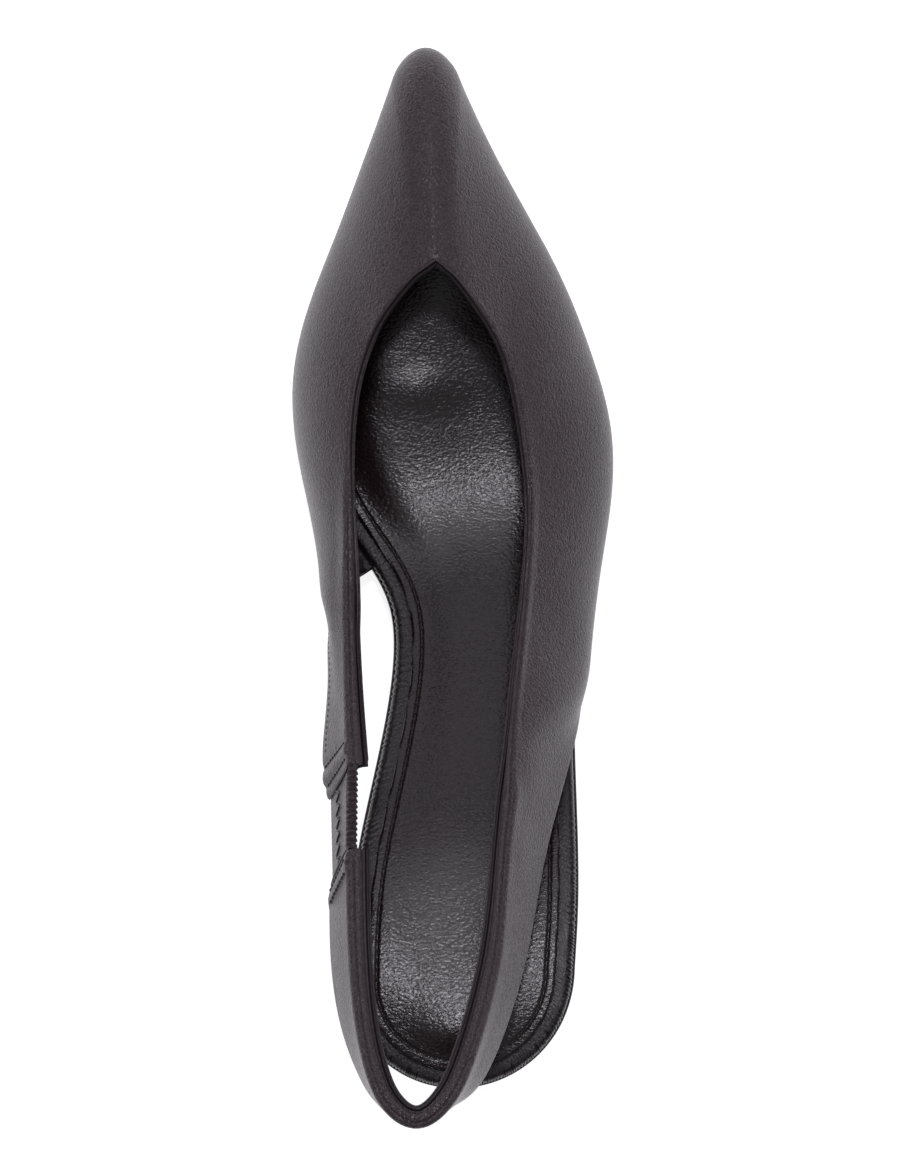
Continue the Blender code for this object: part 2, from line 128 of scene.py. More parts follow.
# Places round the shoe are told by their turn: 0 at the tip of the toe, growing along the outer
# side to 1 behind the heel and on to the inner side, and falling below 0 along the inner side.
QUARTER_END = -0.628
STRAP_END = 1.308
MEDIAL_LEAVE = (-0.548, -0.504)
LATERAL_LEAVE = (0.552, 0.630)
FAN_END = (0.26, 0.40)
SLANT_START = 1.200
END_SLANT = 0.055
BAND_ENDS = ((QUARTER_END, 1), (STRAP_END, -1))  # each with the way along the band
SEAMS_BEHIND = (0.0060, 0.0160)  # how many turns behind an end its two seams lie

EdgeRow = namedtuple("EdgeRow", "turn across along height deep out roll")
# One row for each place on the topline, as shares: across of BALL_WIDTH, along of LENGTH, height of
# COLLAR_HEIGHT, and the free band's depth, lean and rolled width of BALL_WIDTH.
EDGE_ROWS = rows(EdgeRow, [
    (-0.632, -0.264, 0.305, 0.600, 0.195, 0.116, 0.056),
    (-0.600, -0.272, 0.351, 0.575, 0.170, 0.120, 0.056),
    (-0.560, -0.278, 0.413, 0.602, 0.150, 0.085, 0.052),
    (-0.532, -0.279, 0.457, 0.622, 0.150, 0.129, 0.056),
    (-0.504, -0.2795, 0.498, 0.640, 0.155, 0.181, 0.060),
    (-0.410, -0.277, 0.592, 0.680, 0.200, 0.120, 0.060),
    (-0.350, -0.257, 0.653, 0.688, 0.200, 0.120, 0.060),
    (-0.290, -0.213, 0.702, 0.692, 0.200, 0.120, 0.060),
    (-0.180, -0.123, 0.748, 0.716, 0.200, 0.120, 0.060),
    (-0.080, -0.047, 0.772, 0.736, 0.200, 0.120, 0.060),
    (0.000, 0.011, 0.7785, 0.742, 0.200, 0.120, 0.060),
    (0.080, 0.065, 0.769, 0.735, 0.200, 0.120, 0.060),
    (0.180, 0.140, 0.738, 0.708, 0.200, 0.120, 0.060),
    (0.290, 0.218, 0.690, 0.672, 0.200, 0.120, 0.060),
    (0.410, 0.266, 0.600, 0.655, 0.240, 0.140, 0.065),
    (0.500, 0.265, 0.506, 0.630, 0.290, 0.175, 0.072),
    (0.570, 0.215, 0.390, 0.562, 0.300, 0.215, 0.076),
    (0.630, 0.177, 0.312, 0.560, 0.240, 0.195, 0.068),
    (0.700, 0.142, 0.232, 0.560, 0.195, 0.150, 0.056),
    (0.800, 0.093, 0.131, 0.655, 0.170, 0.119, 0.048),
    (0.900, 0.002, 0.044, 0.885, 0.160, 0.098, 0.042),
    (0.950, -0.045, 0.0165, 0.960, 0.154, 0.070, 0.046),
    (1.000, -0.121, -0.0030, 1.000, 0.150, 0.020, 0.050),
    (1.050, -0.192, 0.0085, 0.970, 0.152, 0.050, 0.049),
    (1.100, -0.232, 0.033, 0.895, 0.156, 0.070, 0.046),
    (1.200, -0.272, 0.112, 0.690, 0.160, 0.098, 0.054),
    (1.308, -0.274, 0.234, 0.585, 0.165, 0.100, 0.056),
])

LastRow = namedtuple("LastRow", "turn under side side_up shoulder drop")
# One row for each section of the lasted upper: how far its control points stand out from its two
# edges, as shares of BALL_WIDTH.
LAST_ROWS = rows(LastRow, [
    (-0.560, 0.060, 0.430, 0.50, 0.120, 0.110),
    (-0.504, 0.062, 0.293, 0.46, 0.120, 0.115),
    (-0.455, 0.058, 0.115, 0.42, 0.108, 0.100),
    (-0.380, 0.056, 0.105, 0.42, 0.115, 0.095),
    (-0.300, 0.054, 0.098, 0.42, 0.160, 0.090),
    (-0.200, 0.054, 0.104, 0.42, 0.250, 0.090),
    (-0.080, 0.050, 0.075, 0.45, 0.370, 0.103),
    (0.000, 0.050, 0.085, 0.45, 0.400, 0.108),
    (0.080, 0.048, 0.065, 0.45, 0.370, 0.103),
    (0.200, 0.054, 0.103, 0.42, 0.250, 0.090),
    (0.300, 0.058, 0.142, 0.42, 0.180, 0.090),
    (0.380, 0.062, 0.150, 0.42, 0.130, 0.095),
    (0.500, 0.060, 0.125, 0.42, 0.115, 0.095),
    (0.640, 0.045, 0.125, 0.45, 0.100, 0.085),
])

HeelRow = namedtuple("HeelRow", "down width back front")
# One row for each level of the heel block: down is a share of its height, width of the seat's
# width, and back and front of HEEL_BREAST.
HEEL_ROWS = rows(HeelRow, [
    (0.00, 1.000, 0.023, 1.000),
    (0.06, 0.950, 0.027, 0.965),
    (0.16, 0.770, 0.058, 0.875),
    (0.28, 0.570, 0.108, 0.785),
    (0.44, 0.400, 0.172, 0.700),
    (0.64, 0.290, 0.232, 0.628),
    (0.84, 0.232, 0.268, 0.568),
    (1.00, 0.212, 0.284, 0.541),
])

BandRow = namedtuple("BandRow", "turn wide sharp seam lip")
# The folded band along the topline: its width and how sharply it turns into the outer face, where
# its stitched line runs as a share of the width, and how far the lining shows inside it.
BAND_ROWS = rows(BandRow, [
    (-0.632, 0.0037, 1.00, 0.50, 0.0010),
    (-0.606, 0.0035, 1.00, 0.50, 0.0010),
    (-0.572, 0.0028, 1.00, 0.50, 0.0009),
    (-0.532, 0.0025, 0.95, 0.50, 0.0008),
    (-0.492, 0.0022, 0.75, 0.50, 0.0002),
    (-0.440, 0.0018, 0.35, 0.50, -0.0003),
    (-0.390, 0.0014, 0.00, 0.55, -0.0003),
    (-0.300, 0.0013, 0.00, 0.58, -0.0001),
    (-0.080, 0.0013, 0.00, 0.58, 0.00030),
    (0.080, 0.0013, 0.00, 0.62, 0.00030),
    (0.300, 0.0014, 0.00, 0.68, 0.0000),
    (0.400, 0.0014, 0.10, 0.68, -0.0003),
    (0.500, 0.0012, 0.70, 0.60, -0.0003),
    (0.600, 0.0012, 1.00, 0.55, 0.0004),
    (0.635, 0.0020, 1.00, 0.50, 0.0009),
    (0.660, 0.0032, 1.00, 0.50, 0.0012),
    (0.700, 0.0026, 1.00, 0.50, 0.0013),
    (0.750, 0.0027, 1.00, 0.50, 0.0014),
    (0.800, 0.0033, 1.00, 0.50, 0.0015),
    (1.200, 0.0034, 1.00, 0.50, 0.0015),
    (1.308, 0.0036, 1.00, 0.50, 0.0016),
])

FoldRow = namedtuple("FoldRow", "turn down width height lean")
# Soft troughs worn into the upper: where each is, as a turn and a share of the section's height
# from the topline, its half width in turns, its depth in metres, and how it leans as it goes down.
FOLD_ROWS = rows(FoldRow, [
    (-0.590, 0.50, 0.012, 0.00020, 0.030),
    (-0.470, 0.35, 0.018, 0.00030, 0.040),
    (0.545, 0.30, 0.020, 0.00035, 0.050),
    (0.600, 0.55, 0.018, 0.00030, -0.040),
    (0.680, 0.50, 0.016, 0.00022, 0.020),
])


def natural_spline(knots, values):
    """A smooth curve through the values, without bend at its two ends."""
    knots = np.array(knots, float)
    values = np.array(values, float)
    count = len(knots)
    step = np.diff(knots)
    matrix = np.eye(count)
    right = np.zeros(count)
    for i in range(1, count - 1):
        matrix[i, i - 1 : i + 2] = step[i - 1], 2 * (step[i - 1] + step[i]), step[i]
        rise_after = (values[i + 1] - values[i]) / step[i]
        rise_before = (values[i] - values[i - 1]) / step[i - 1]
        right[i] = 6 * (rise_after - rise_before)
    bend = np.linalg.solve(matrix, right)

    def at(place):
        i = int(np.clip(np.searchsorted(knots, place) - 1, 0, count - 2))
        after = (place - knots[i]) / step[i]
        before = 1 - after
        curve = (before**3 - before) * bend[i] + (after**3 - after) * bend[i + 1]
        return before * values[i] + after * values[i + 1] + curve * step[i] ** 2 / 6

    return at


def columns(table):
    """A smooth function for each column of a table, told by its first column."""
    knots = [row[0] for row in table]
    return {
        name: natural_spline(knots, [getattr(row, name) for row in table])
        for name in table[0]._fields[1:]
    }


SOLE = columns(SOLE_ROWS)
EDGE = columns(EDGE_ROWS)
LAST = columns(LAST_ROWS)
HEEL = columns(HEEL_ROWS)

FOOTBED_BACK = OUTSOLE_LIP
FOOTBED_TOE = LENGTH - TOE_OVERHANG


def band_value(name, turn):
    """Value of one column of the folded band's table at a turn."""
    return float(np.interp(turn, [r.turn for r in BAND_ROWS], [getattr(r, name) for r in BAND_ROWS]))


def smooth_step(value, low, high):
    """A soft step from 0 at the low value to 1 at the high one."""
    share = np.clip((value - low) / (high - low), 0.0, 1.0)
    return share * share * (3 - 2 * share)


def unit(vector):
    """A direction at unit length."""
    return vector / np.linalg.norm(vector)


def units(vectors):
    """Each of many directions at unit length."""
    return vectors / np.maximum(np.linalg.norm(vectors, axis=-1, keepdims=True), 1e-12)


def level_unit(vector):
    """The level part of a direction, at unit length."""
    return unit(np.array([vector[0], vector[1], 0.0]))


def sole_height(y):
    """Height of the outsole's top face, which lies level across the shoe."""
    along = y / LENGTH
    pitch = max(SOLE["pitch"](along), 0.0)
    spring = max(SOLE["spring"](along), 0.0)
    return OUTSOLE_THICKNESS + HEEL_RISE * pitch + TOE_SPRING * spring


def layer_height(y, above):
    """Height of a face that lies a normal distance above the outsole's top face."""
    reach = 0.001
    slope = (sole_height(y + reach) - sole_height(y - reach)) / (2 * reach)
    return sole_height(y) + above * math.sqrt(1 + slope * slope)


def end_round(distance, size):
    """Narrows the outline towards a rounded end."""
    share = min(max(distance / size, 0.0), 1.0)
    return math.sqrt(1 - (1 - share) ** 2)


def sole_edge(turn, outset, toe_cut=0.0):
    """Point at a turn, a set distance outside the footbed's edge, seen from above."""
    turn = (turn + 1) % 2 - 1
    back = FOOTBED_BACK - outset
    toe = FOOTBED_TOE + outset - toe_cut
    y = back + (toe - back) * (1 + math.cos(math.pi * turn)) / 2
    half_width = SOLE["lateral" if turn >= 0 else "medial"]
    reach = 0.004
    slope = (half_width(y / LENGTH + reach) - half_width(y / LENGTH - reach)) / (2 * reach)
    slope *= BALL_WIDTH / LENGTH
    width = BALL_WIDTH * half_width(y / LENGTH) + outset * math.sqrt(1 + slope * slope)
    width *= end_round(toe - y, TOE_ROUND) * end_round(y - back, HEEL_ROUND + outset)
    return np.array([math.copysign(width, turn), y])


def topline(turn):
    """Point of the upper's top edge at a turn."""
    y = LENGTH * EDGE["along"](turn)
    y += THROAT_POINT * max(0.0, 1 - abs(turn) / THROAT_TURN) ** 1.5
    base = layer_height(y, FOOTBED_THICKNESS)
    height = base + COLLAR_HEIGHT * EDGE["height"](turn)
    return np.array([BALL_WIDTH * EDGE["across"](turn), y, height])


def squareness(turn):
    """How square to the topline a section is: 1 at the band's two ends, and 0 where upright."""
    at_quarter = 1 - smooth_step(turn, QUARTER_END, QUARTER_END + 0.12)
    return max(at_quarter, smooth_step(turn, STRAP_END - 0.24, STRAP_END))


def band_frame(turn):
    """Directions at the topline: level and outward, and down across the band."""
    reach = 0.004
    run = topline(turn + reach) - topline(turn - reach)
    run[2] *= squareness(turn)
    run = unit(run)
    level = unit(np.array([-run[1], run[0], 0.0]))
    return level, unit(np.cross(level, run))


def grip(turn):
    """How far a section of the upper is held on the sole: 1 where lasted, 0 on the free band."""
    low, high = MEDIAL_LEAVE
    medial = min(max((turn - low) / (high - low), 0.0), 1.0)
    return medial**1.35 * (1 - smooth_step(turn, *LATERAL_LEAVE))


def free_controls(turn):
    """Control points of the free band's section, from the lower edge to the topline."""
    top = topline(turn)
    level, down = band_frame(turn)
    deep, out, roll = (BALL_WIDTH * EDGE[name](turn) for name in ("deep", "out", "roll"))
    lean = out - roll
    places = [
        (out, deep),
        (roll + 0.65 * lean, 0.70 * deep),
        (roll + 0.25 * lean, 0.42 * deep),
        (roll, 0.03 * deep),
        (0, 0),
    ]
    slant = BALL_WIDTH * END_SLANT * smooth_step(turn, SLANT_START, STRAP_END)
    back = slant / deep * np.cross(level, down)
    return np.array([top + across * level + below * (down + back) for across, below in places])


def lasted_controls(turn):
    """Control points of the section that is held on the sole, from the sole to the topline."""
    held = grip(turn)
    turned_up = UPPER_WALL * 4 * held * (1 - held)
    x, y = sole_edge(turn, 2 * GAP + turned_up)
    low = np.array([x, y, sole_height(y) + GAP])
    top = topline(turn)
    reach = 0.01
    along = sole_edge(turn + reach, 0) - sole_edge(turn - reach, 0)
    away = level_unit((-along[1], along[0]))
    level, _ = band_frame(turn)
    beside = smooth_step(abs(turn), *FAN_END)
    facing = level_unit((1 - beside) * level_unit(low - top) + beside * level)
    rise = np.array([0, 0, top[2] - low[2]])
    under = low + BALL_WIDTH * LAST["under"](turn) * away
    side = low + BALL_WIDTH * LAST["side"](turn) * away + LAST["side_up"](turn) * rise
    shoulder = top + BALL_WIDTH * LAST["shoulder"](turn) * facing
    shoulder[2] -= BALL_WIDTH * LAST["drop"](turn)
    return np.array([low, under, side, shoulder, top])


class Path:
    """A curve through close points, asked for by the distance along it."""

    def __init__(self, points):
        self.points = np.array(points, float)
        steps = np.linalg.norm(np.diff(self.points, axis=0), axis=1)
        self.lengths = np.concatenate([[0.0], np.cumsum(steps)])
        self.total = self.lengths[-1]
        self.start_direction = unit(self.points[1] - self.points[0])
        self.end_direction = unit(self.points[-1] - self.points[-2])

    def at(self, places):
        """Points at these distances. Past either end, the curve goes straight on."""
        places = np.atleast_1d(np.array(places, float))
        found = np.stack(
            [np.interp(places, self.lengths, self.points[:, k]) for k in range(3)], axis=1
        )
        found += np.minimum(places, 0)[:, None] * self.start_direction
        found += np.maximum(places - self.total, 0)[:, None] * self.end_direction
        return found


def section_curve(turn):
    """The solid's section at a turn, from the topline down to the lower edge."""
    held = grip(turn)
    controls = np.zeros((5, 3))
    if held < 1:
        controls += (1 - held) * free_controls(turn)
    if held > 0:
        controls += held * lasted_controls(turn)
    share = np.linspace(1, 0, CURVE_POINTS)[:, None]
    weights = (1, 4, 6, 4, 1)
    parts = [weights[n] * share**n * (1 - share) ** (4 - n) for n in range(5)]
    return Path(np.hstack(parts) @ controls)


def section(turn):
    """Outer face with its folded band, the plain face under it, and each point's depth."""
    curve = section_curve(turn)
    level, down = band_frame(turn)
    wide = band_value("wide", turn)
    sharp = band_value("sharp", turn)
    bend = min(BAND_BEND, 0.3 * wide)
    reach = min((3.6 - sharp) * wide, 0.6 * curve.total)
    top = curve.points[0]
    corner = top + wide * level + 0.05 * wide * down
    foot = curve.at(reach)[0]
    foot_way = unit(curve.at(reach + 0.0002)[0] - foot)
    onward = unit(foot - corner)

    start = LEATHER_INSIDE * 0.4 / wide
    across = np.linspace(start, 1 - bend / wide, BAND_POINTS)
    crown = 0.07 * wide * 4 * across * (1 - across)
    flat = top + across[:, None] * (corner - top) - crown[:, None] * down
    t = np.linspace(0, 1, BEND_POINTS + 2)[1:-1, None]
    before = flat[-1]
    after = corner + bend * onward
    turned = (1 - t) ** 2 * before + 2 * t * (1 - t) * corner + t**2 * after
    s = np.linspace(0, 1, FACE_POINTS)[:, None]
    long = np.linalg.norm(foot - after)
    face = (2 * s**3 - 3 * s**2 + 1) * after + (s**3 - 2 * s**2 + s) * long * onward
    face += (3 * s**2 - 2 * s**3) * foot + (s**3 - s**2) * long * foot_way
    spread = np.linspace(0, 1, LOWER_POINTS + 1)[1:]
    lower = reach + (curve.total - reach) * spread
    depths = np.concatenate(
        [
            across * wide,
            wide - bend + 2 * bend * t[:, 0],
            wide + bend + (reach - wide - bend) * s[:, 0],
            lower,
        ]
    )
    plain = curve.at(depths)
    shaped = np.vstack([flat, turned, face, plain[-LOWER_POINTS:]])
    return plain + sharp * (shaped - plain), plain, depths


def band_turns():
    """Turns of the upper's sections, closer together at the inner cut-out and the two ends."""
    low, high = MEDIAL_LEAVE
    end = 0.004
    parts = [
        (QUARTER_END, QUARTER_END + end, end / 4),
        (QUARTER_END + end, low, TURN_STEP / 2),
        (low, high, LEAVE_STEP),
        (high, STRAP_END - end, TURN_STEP),
        (STRAP_END - end, STRAP_END, end / 4),
    ]
    turns = []
    for start, stop, step in parts:
        count = max(1, round((stop - start) / step))
        turns += [start + (stop - start) * k / count for k in range(count)]
    return np.array(turns + [STRAP_END])


def grid_normals(grid):
    """Unit normals of a grid of points, to the side where the outer face is."""
    return units(np.cross(np.gradient(grid, axis=0), np.gradient(grid, axis=1)))


def eased_rows(turns):
    """Shares that even out neighbouring sections where the inner side leaves the sole."""
    reach = smooth_step(turns, -0.615, -0.580) * (1 - smooth_step(turns, -0.510, -0.470))
    gaps = (turns[:, None] - turns[None, :]) / 0.012
    paces = np.gradient(turns)
    near = np.exp(-0.5 * gaps**2) * paces[None, :]
    near /= near.sum(axis=1, keepdims=True)
    return reach[:, None] * near + (1 - reach[:, None]) * np.eye(len(turns))


class Skin:
    """The upper's outer face as a grid, with the depth of each point below the topline."""

    def __init__(self):
        self.turns = band_turns()
        found = [section(turn) for turn in self.turns]
        self.outer = np.array([f[0] for f in found])
        self.plain = np.array([f[1] for f in found])
        self.depths = np.array([f[2] for f in found])
        eased = eased_rows(self.turns)
        self.outer = np.einsum("ij,jkc->ikc", eased, self.outer)
        self.plain = np.einsum("ij,jkc->ikc", eased, self.plain)
        self.outer_normals = grid_normals(self.outer)
        self.plain_normals = grid_normals(self.plain)
        self.face = leather_face(self)

    def place(self, turn, depth):
        """Point and normal of the outer face at a turn and a depth below the topline."""
        i = int(np.clip(np.searchsorted(self.turns, turn) - 1, 0, len(self.turns) - 2))
        share = (turn - self.turns[i]) / (self.turns[i + 1] - self.turns[i])
        found = []
        for grid in (self.face, self.outer_normals):
            ends = [
                np.array([np.interp(depth, self.depths[n], grid[n, :, k]) for k in range(3)])
                for n in (i, i + 1)
            ]
            found.append((1 - share) * ends[0] + share * ends[1])
        return found[0], unit(found[1])


def set_in_frame():
    """How far the model's frame is from the shoe's own."""
    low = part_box("outsole")[0]
    side = min(sole_edge(k / 60, OUTSOLE_LIP)[0] for k in range(-60, 60))
    return Vector((low.x - side, low.y, 0))


OFFSET = set_in_frame()


def new_piece(name, points, faces, finish, node, slot, sharp_angle=50):
    """A smooth mesh piece that rides on the shoe and stands for one of its solids."""
    mesh = bpy.data.meshes.new(name)
    moved = np.array(points, float) + np.array(OFFSET)
    mesh.from_pydata(moved.tolist(), [], faces)
    work = bmesh.new()
    work.from_mesh(mesh)
    bmesh.ops.recalc_face_normals(work, faces=work.faces)
    work.to_mesh(mesh)
    work.free()
    mesh.materials.append(finish)
    mesh.shade_smooth()
    mesh.set_sharp_from_angle(angle=math.radians(sharp_angle))
    made = bpy.data.objects.new(name, mesh)
    bpy.context.scene.collection.objects.link(made)
    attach(made, "root")
    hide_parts(node)
    return made


def side_faces(count, size):
    """Faces between closed rings of points that follow each other."""
    faces = []
    for i in range(count - 1):
        for j in range(size):
            k = (j + 1) % size
            faces.append((i * size + j, i * size + k, (i + 1) * size + k, (i + 1) * size + j))
    return faces


def ring_faces(count, size):
    """Faces between closed rings, and one across each end."""
    ends = [tuple(range(size)), tuple(range((count - 1) * size, count * size))]
    return side_faces(count, size) + ends


def joined(groups):
    """One list of points and one of faces from several meshes."""
    points = []
    faces = []
    for found, sides in groups:
        start = sum(len(group) for group in points)
        points.append(found)
        faces += [tuple(start + n for n in face) for face in sides]
    return np.vstack(points), faces


def rounded_cap(first, last, way):
    """Points of a half round from the first point to the last, bulging along way."""
    middle = (first + last) / 2
    arm = (first - last) / 2
    size = np.linalg.norm(arm, axis=1, keepdims=True)
    found = []
    for k in range(1, 2 * CAP_POINTS + 1):
        angle = math.pi * k / (2 * CAP_POINTS + 1)
        found.append(middle + math.cos(angle) * arm + math.sin(angle) * size * way)
    return found


def shell(outer, inner):
    """Points and faces of a closed shell with rounded edges between two grids of points."""
    count = len(outer)
    top_cap = rounded_cap(inner[:, 0], outer[:, 0], units(outer[:, 0] - outer[:, 1]))
    low_cap = rounded_cap(outer[:, -1], inner[:, -1], units(outer[:, -1] - outer[:, -2]))
    parts = top_cap[CAP_POINTS:]
    parts += [outer[:, j] for j in range(outer.shape[1])]
    parts += low_cap
    parts += [inner[:, j] for j in reversed(range(inner.shape[1]))]
    parts += top_cap[:CAP_POINTS]
    rings = np.stack(parts, axis=1)
    size = rings.shape[1]
    faces = side_faces(count, size)
    for start in (0, (count - 1) * size):
        last = start + size - 1
        for j in range(size // 2 - 1):
            faces.append((start + j, start + j + 1, last - j - 1, last - j))
    return rings.reshape(-1, 3), faces


def rounded_ends(turns, outer, inner):
    """Draws the two faces together at both ends of the band, so that the ends are rounded."""
    middle = (outer + inner) / 2
    rounded_turns = 0.004
    from_end = np.minimum(turns - turns[0], turns[-1] - turns)
    share = np.clip(from_end / rounded_turns, 0, 1)
    full = (0.35 + 0.65 * np.sqrt(1 - (1 - share) ** 2))[:, None, None]
    return middle + full * (outer - middle), middle + full * (inner - middle)


def soft_folds(turns, shares):
    """Height of the worn folds over a grid of turns and shares of the sections' height."""
    half_long = 0.28
    total = np.zeros(shares.shape)
    for row in FOLD_ROWS:
        centre = row.turn + row.lean * (shares - row.down)
        across = (turns[:, None] - centre) / row.width
        along = (shares - row.down) / half_long
        total -= row.height * np.exp(-(across**2) - along**2)
        total += 0.4 * row.height * np.exp(-((across - 1.9) ** 2) - along**2)
    return total


def leather_face(skin):
    """The outer face with its stitched groove, the fold's raised edge and the worn folds."""
    wide, seam, sharp = (
        np.array([band_value(name, turn) for turn in skin.turns])[:, None]
        for name in ("wide", "seam", "sharp")
    )
    seam = seam * wide
    groove = 0.00020 * np.exp(-(((skin.depths - seam) / 0.00024) ** 2))
    raised = 0.00022 * (1 - sharp) * smooth_step(seam - skin.depths, -0.0001, 0.0004)
    shares = skin.depths / skin.depths[:, -1:]
    height = raised - groove + soft_folds(skin.turns, shares) + end_welts(skin)
    return skin.outer + height[:, :, None] * skin.outer_normals


def end_welts(skin):
    """Raised slanting seams on the outer face, just before the band's two ends."""
    raised = 0.00042
    sunk = 0.00034
    on_face = smooth_step(skin.depths, 0.0032, 0.0044)
    total = np.zeros(skin.depths.shape)
    first, last = SEAMS_BEHIND
    for end, way in BAND_ENDS:
        behind = way * (skin.turns[:, None] - end)
        welt = raised * np.sin(np.pi * np.clip((behind - first) / (last - first), 0, 1))
        dips = sum(np.exp(-(((behind - seam) / 0.0012) ** 2)) for seam in SEAMS_BEHIND)
        total += on_face * (welt - sunk * dips)
    return total


def upper_leather(skin, finish):
    """The outer leather, folded over at the topline and round its free lower edge."""
    inner = skin.plain - LEATHER_INSIDE * skin.plain_normals
    made = shell(*rounded_ends(skin.turns, skin.face, inner))
    return new_piece("upper_leather", *made, finish, "upper", "upper_leather")


def upper_lining(skin, finish):
    """The lining, whose edge shows as a fine line inside the fold of the leather."""
    count = 46
    grid = []
    bead = []
    for turn in skin.turns:
        curve = section_curve(turn)
        lip = band_value("lip", turn)
        free = 1 - grip(turn)
        wave = 0.00018 * math.sin(turn * 210) * smooth_step(turn, 0.90, 0.96)
        short = free * (0.0006 + wave * (1 - smooth_step(turn, 1.04, 1.10)))
        near = np.linspace(-lip, 0.0012, 15)
        far = np.linspace(0.0012, curve.total - short, count - 14)[1:]
        places = np.concatenate([near, far])
        grid.append(curve.at(places))
        edge = np.exp(-(((places + lip - 0.00030) / 0.00028) ** 2))
        edge -= 0.5 * np.exp(-(((places + lip - 0.00085) / 0.00022) ** 2))
        bead.append(0.00022 * edge)
    grid = np.array(grid)
    bead = np.array(bead)[:, :, None]
    normals = grid_normals(grid)
    outer = grid - LINING_OUTSIDE * normals + bead * normals
    inner = grid - LINING_INSIDE * normals - 0.4 * bead * normals
    return new_piece("upper_lining", *shell(outer, inner), finish, "upper", "upper_leather")


def tube(points, radii, sides=8):
    """Points and faces of a closed round rod through points, which narrows as its radii say."""
    points = np.array(points)
    ways = units(np.gradient(points, axis=0))
    first = units(np.cross(ways, (0.0, 0.0, 1.0)))
    second = np.cross(first, ways)
    found = []
    for centre, a, b, radius in zip(points, first, second, radii):
        for j in range(sides):
            angle = 2 * math.pi * j / sides
            found.append(centre + radius * (math.cos(angle) * a + math.sin(angle) * b))
    return np.array(found), ring_faces(len(points), sides)


def topline_edge(skin, finish):
    """The turned edge that shows as a fine line between the folded leather and the lining."""
    points = []
    for turn in skin.turns[3:-3]:
        curve = section_curve(turn)
        place = curve.at([-band_value("lip", turn) - 0.00012, 0.0012])
        level, down = band_frame(turn)
        along = unit(place[1] - place[0])
        inside = unit(np.cross(np.cross(level, down), along))
        if inside @ level > 0:
            inside = -inside
        points.append(place[0] + (LINING_INSIDE - 0.00018) * inside)
    radii = np.full(len(points), 0.00028)
    radii[[0, -1]] = 0.0001
    return new_piece("topline_edge", *tube(points, radii), finish, "upper", "upper_leather")


def painted_end_shade(skin, finish):
    """Painted shade: dark rods of lining leather under the strap's and the quarter's ends on the
    elastic.
    """
    steps = 40
    radius = 0.00060
    below_face = 0.00045
    groups = []
    for end, inward in ((0, 2), (-1, -3)):
        curve = Path(skin.face[end])
        places = np.linspace(0.0040, curve.total - 0.0004, steps)
        middle = curve.at(places)
        away = units(middle - Path(skin.face[inward]).at(places))
        line = middle + 0.0002 * away - below_face * skin.outer_normals[end].mean(axis=0)
        radii = radius * np.sqrt(np.sin(np.pi * np.linspace(0.02, 0.98, steps)))
        groups.append(tube(line, radii))
    return new_piece("painted_end_shade", *joined(groups), finish, "upper", "upper_leather")


def stitch_shape():
    """Points and faces of one stitch of unit length and radius, fuller on top."""
    rings = 5
    sides = 6
    points = [(-0.5, 0, -0.3)]
    for i in range(rings):
        along = -0.5 + (i + 1) / (rings + 1)
        full = math.sqrt(max(0.0, 1 - (2 * along) ** 4))
        for j in range(sides):
            angle = 2 * math.pi * j / sides
            points.append((along, full * math.cos(angle), full * math.sin(angle)))
    points.append((0.5, 0, -0.3))
    last = len(points) - 1
    faces = []
    for j in range(sides):
        k = (j + 1) % sides
        faces.append((0, 1 + k, 1 + j))
        for i in range(rings - 1):
            a = 1 + i * sides
            faces.append((a + j, a + k, a + sides + k, a + sides + j))
        a = 1 + (rings - 1) * sides
        faces.append((a + j, a + k, last))
    return np.array(points, float), faces


STITCH_POINTS, STITCH_FACES = stitch_shape()


def stitch_mesh(places, length, radius, sunk):
    """Points and faces of many stitches; each place is a centre, a direction and a normal."""
    points = []
    faces = []
    for centre, way, normal in places:
        side = unit(np.cross(normal, way))
        axes = np.array([length * way, radius * side, radius * normal])
        start = len(points) * len(STITCH_POINTS)
        points.append(centre - sunk * normal + STITCH_POINTS @ axes)
        faces += [tuple(start + n for n in face) for face in STITCH_FACES]
    return np.vstack(points), faces


def along_line(points, normals, pitch):
    """Places of stitches at an even pitch along a line of points with their normals."""
    path = Path(points)
    count = max(1, int(path.total / pitch))
    start = (path.total - count * pitch) / 2
    found = []
    for k in range(count):
        middle = start + (k + 0.5) * pitch
        ends = path.at([middle - 0.4 * pitch, middle, middle + 0.4 * pitch])
        normal = [np.interp(middle, path.lengths, np.array(normals)[:, n]) for n in range(3)]
        found.append((ends[1], unit(ends[2] - ends[0]), unit(np.array(normal))))
    return found


def skin_line(skin, places):
    """Points and normals of a line on the upper's outer face, given by its turns and depths."""
    found = [skin.place(turn, depth) for turn, depth in places]
    return [f[0] for f in found], [f[1] for f in found]


StitchRow = namedtuple("StitchRow", "start end share pitch long thick slant")
# The stitched lines along the fold: from turn to turn, at a share of the band's width, with the
# stitches' pitch, length and radius in metres and how far they slant.
STITCH_ROWS = rows(StitchRow, [
    (-0.624, -0.400, 0.50, 0.00115, 0.00082, 0.00015, 0.0),
    (-0.400, -0.006, 0.56, 0.00105, 0.00068, 0.00014, 0.0),
    (0.006, 0.240, 0.62, 0.00110, 0.00080, 0.00016, 0.25),
    (0.240, 0.480, 0.68, 0.00125, 0.00105, 0.00020, 0.55),
    (0.480, 0.640, 0.55, 0.00120, 0.00080, 0.00014, 0.0),
    (0.640, 1.304, 0.50, 0.00115, 0.00082, 0.00016, 0.0),
    (0.780, 1.304, 0.13, 0.00115, 0.00070, 0.00013, 0.0),
])


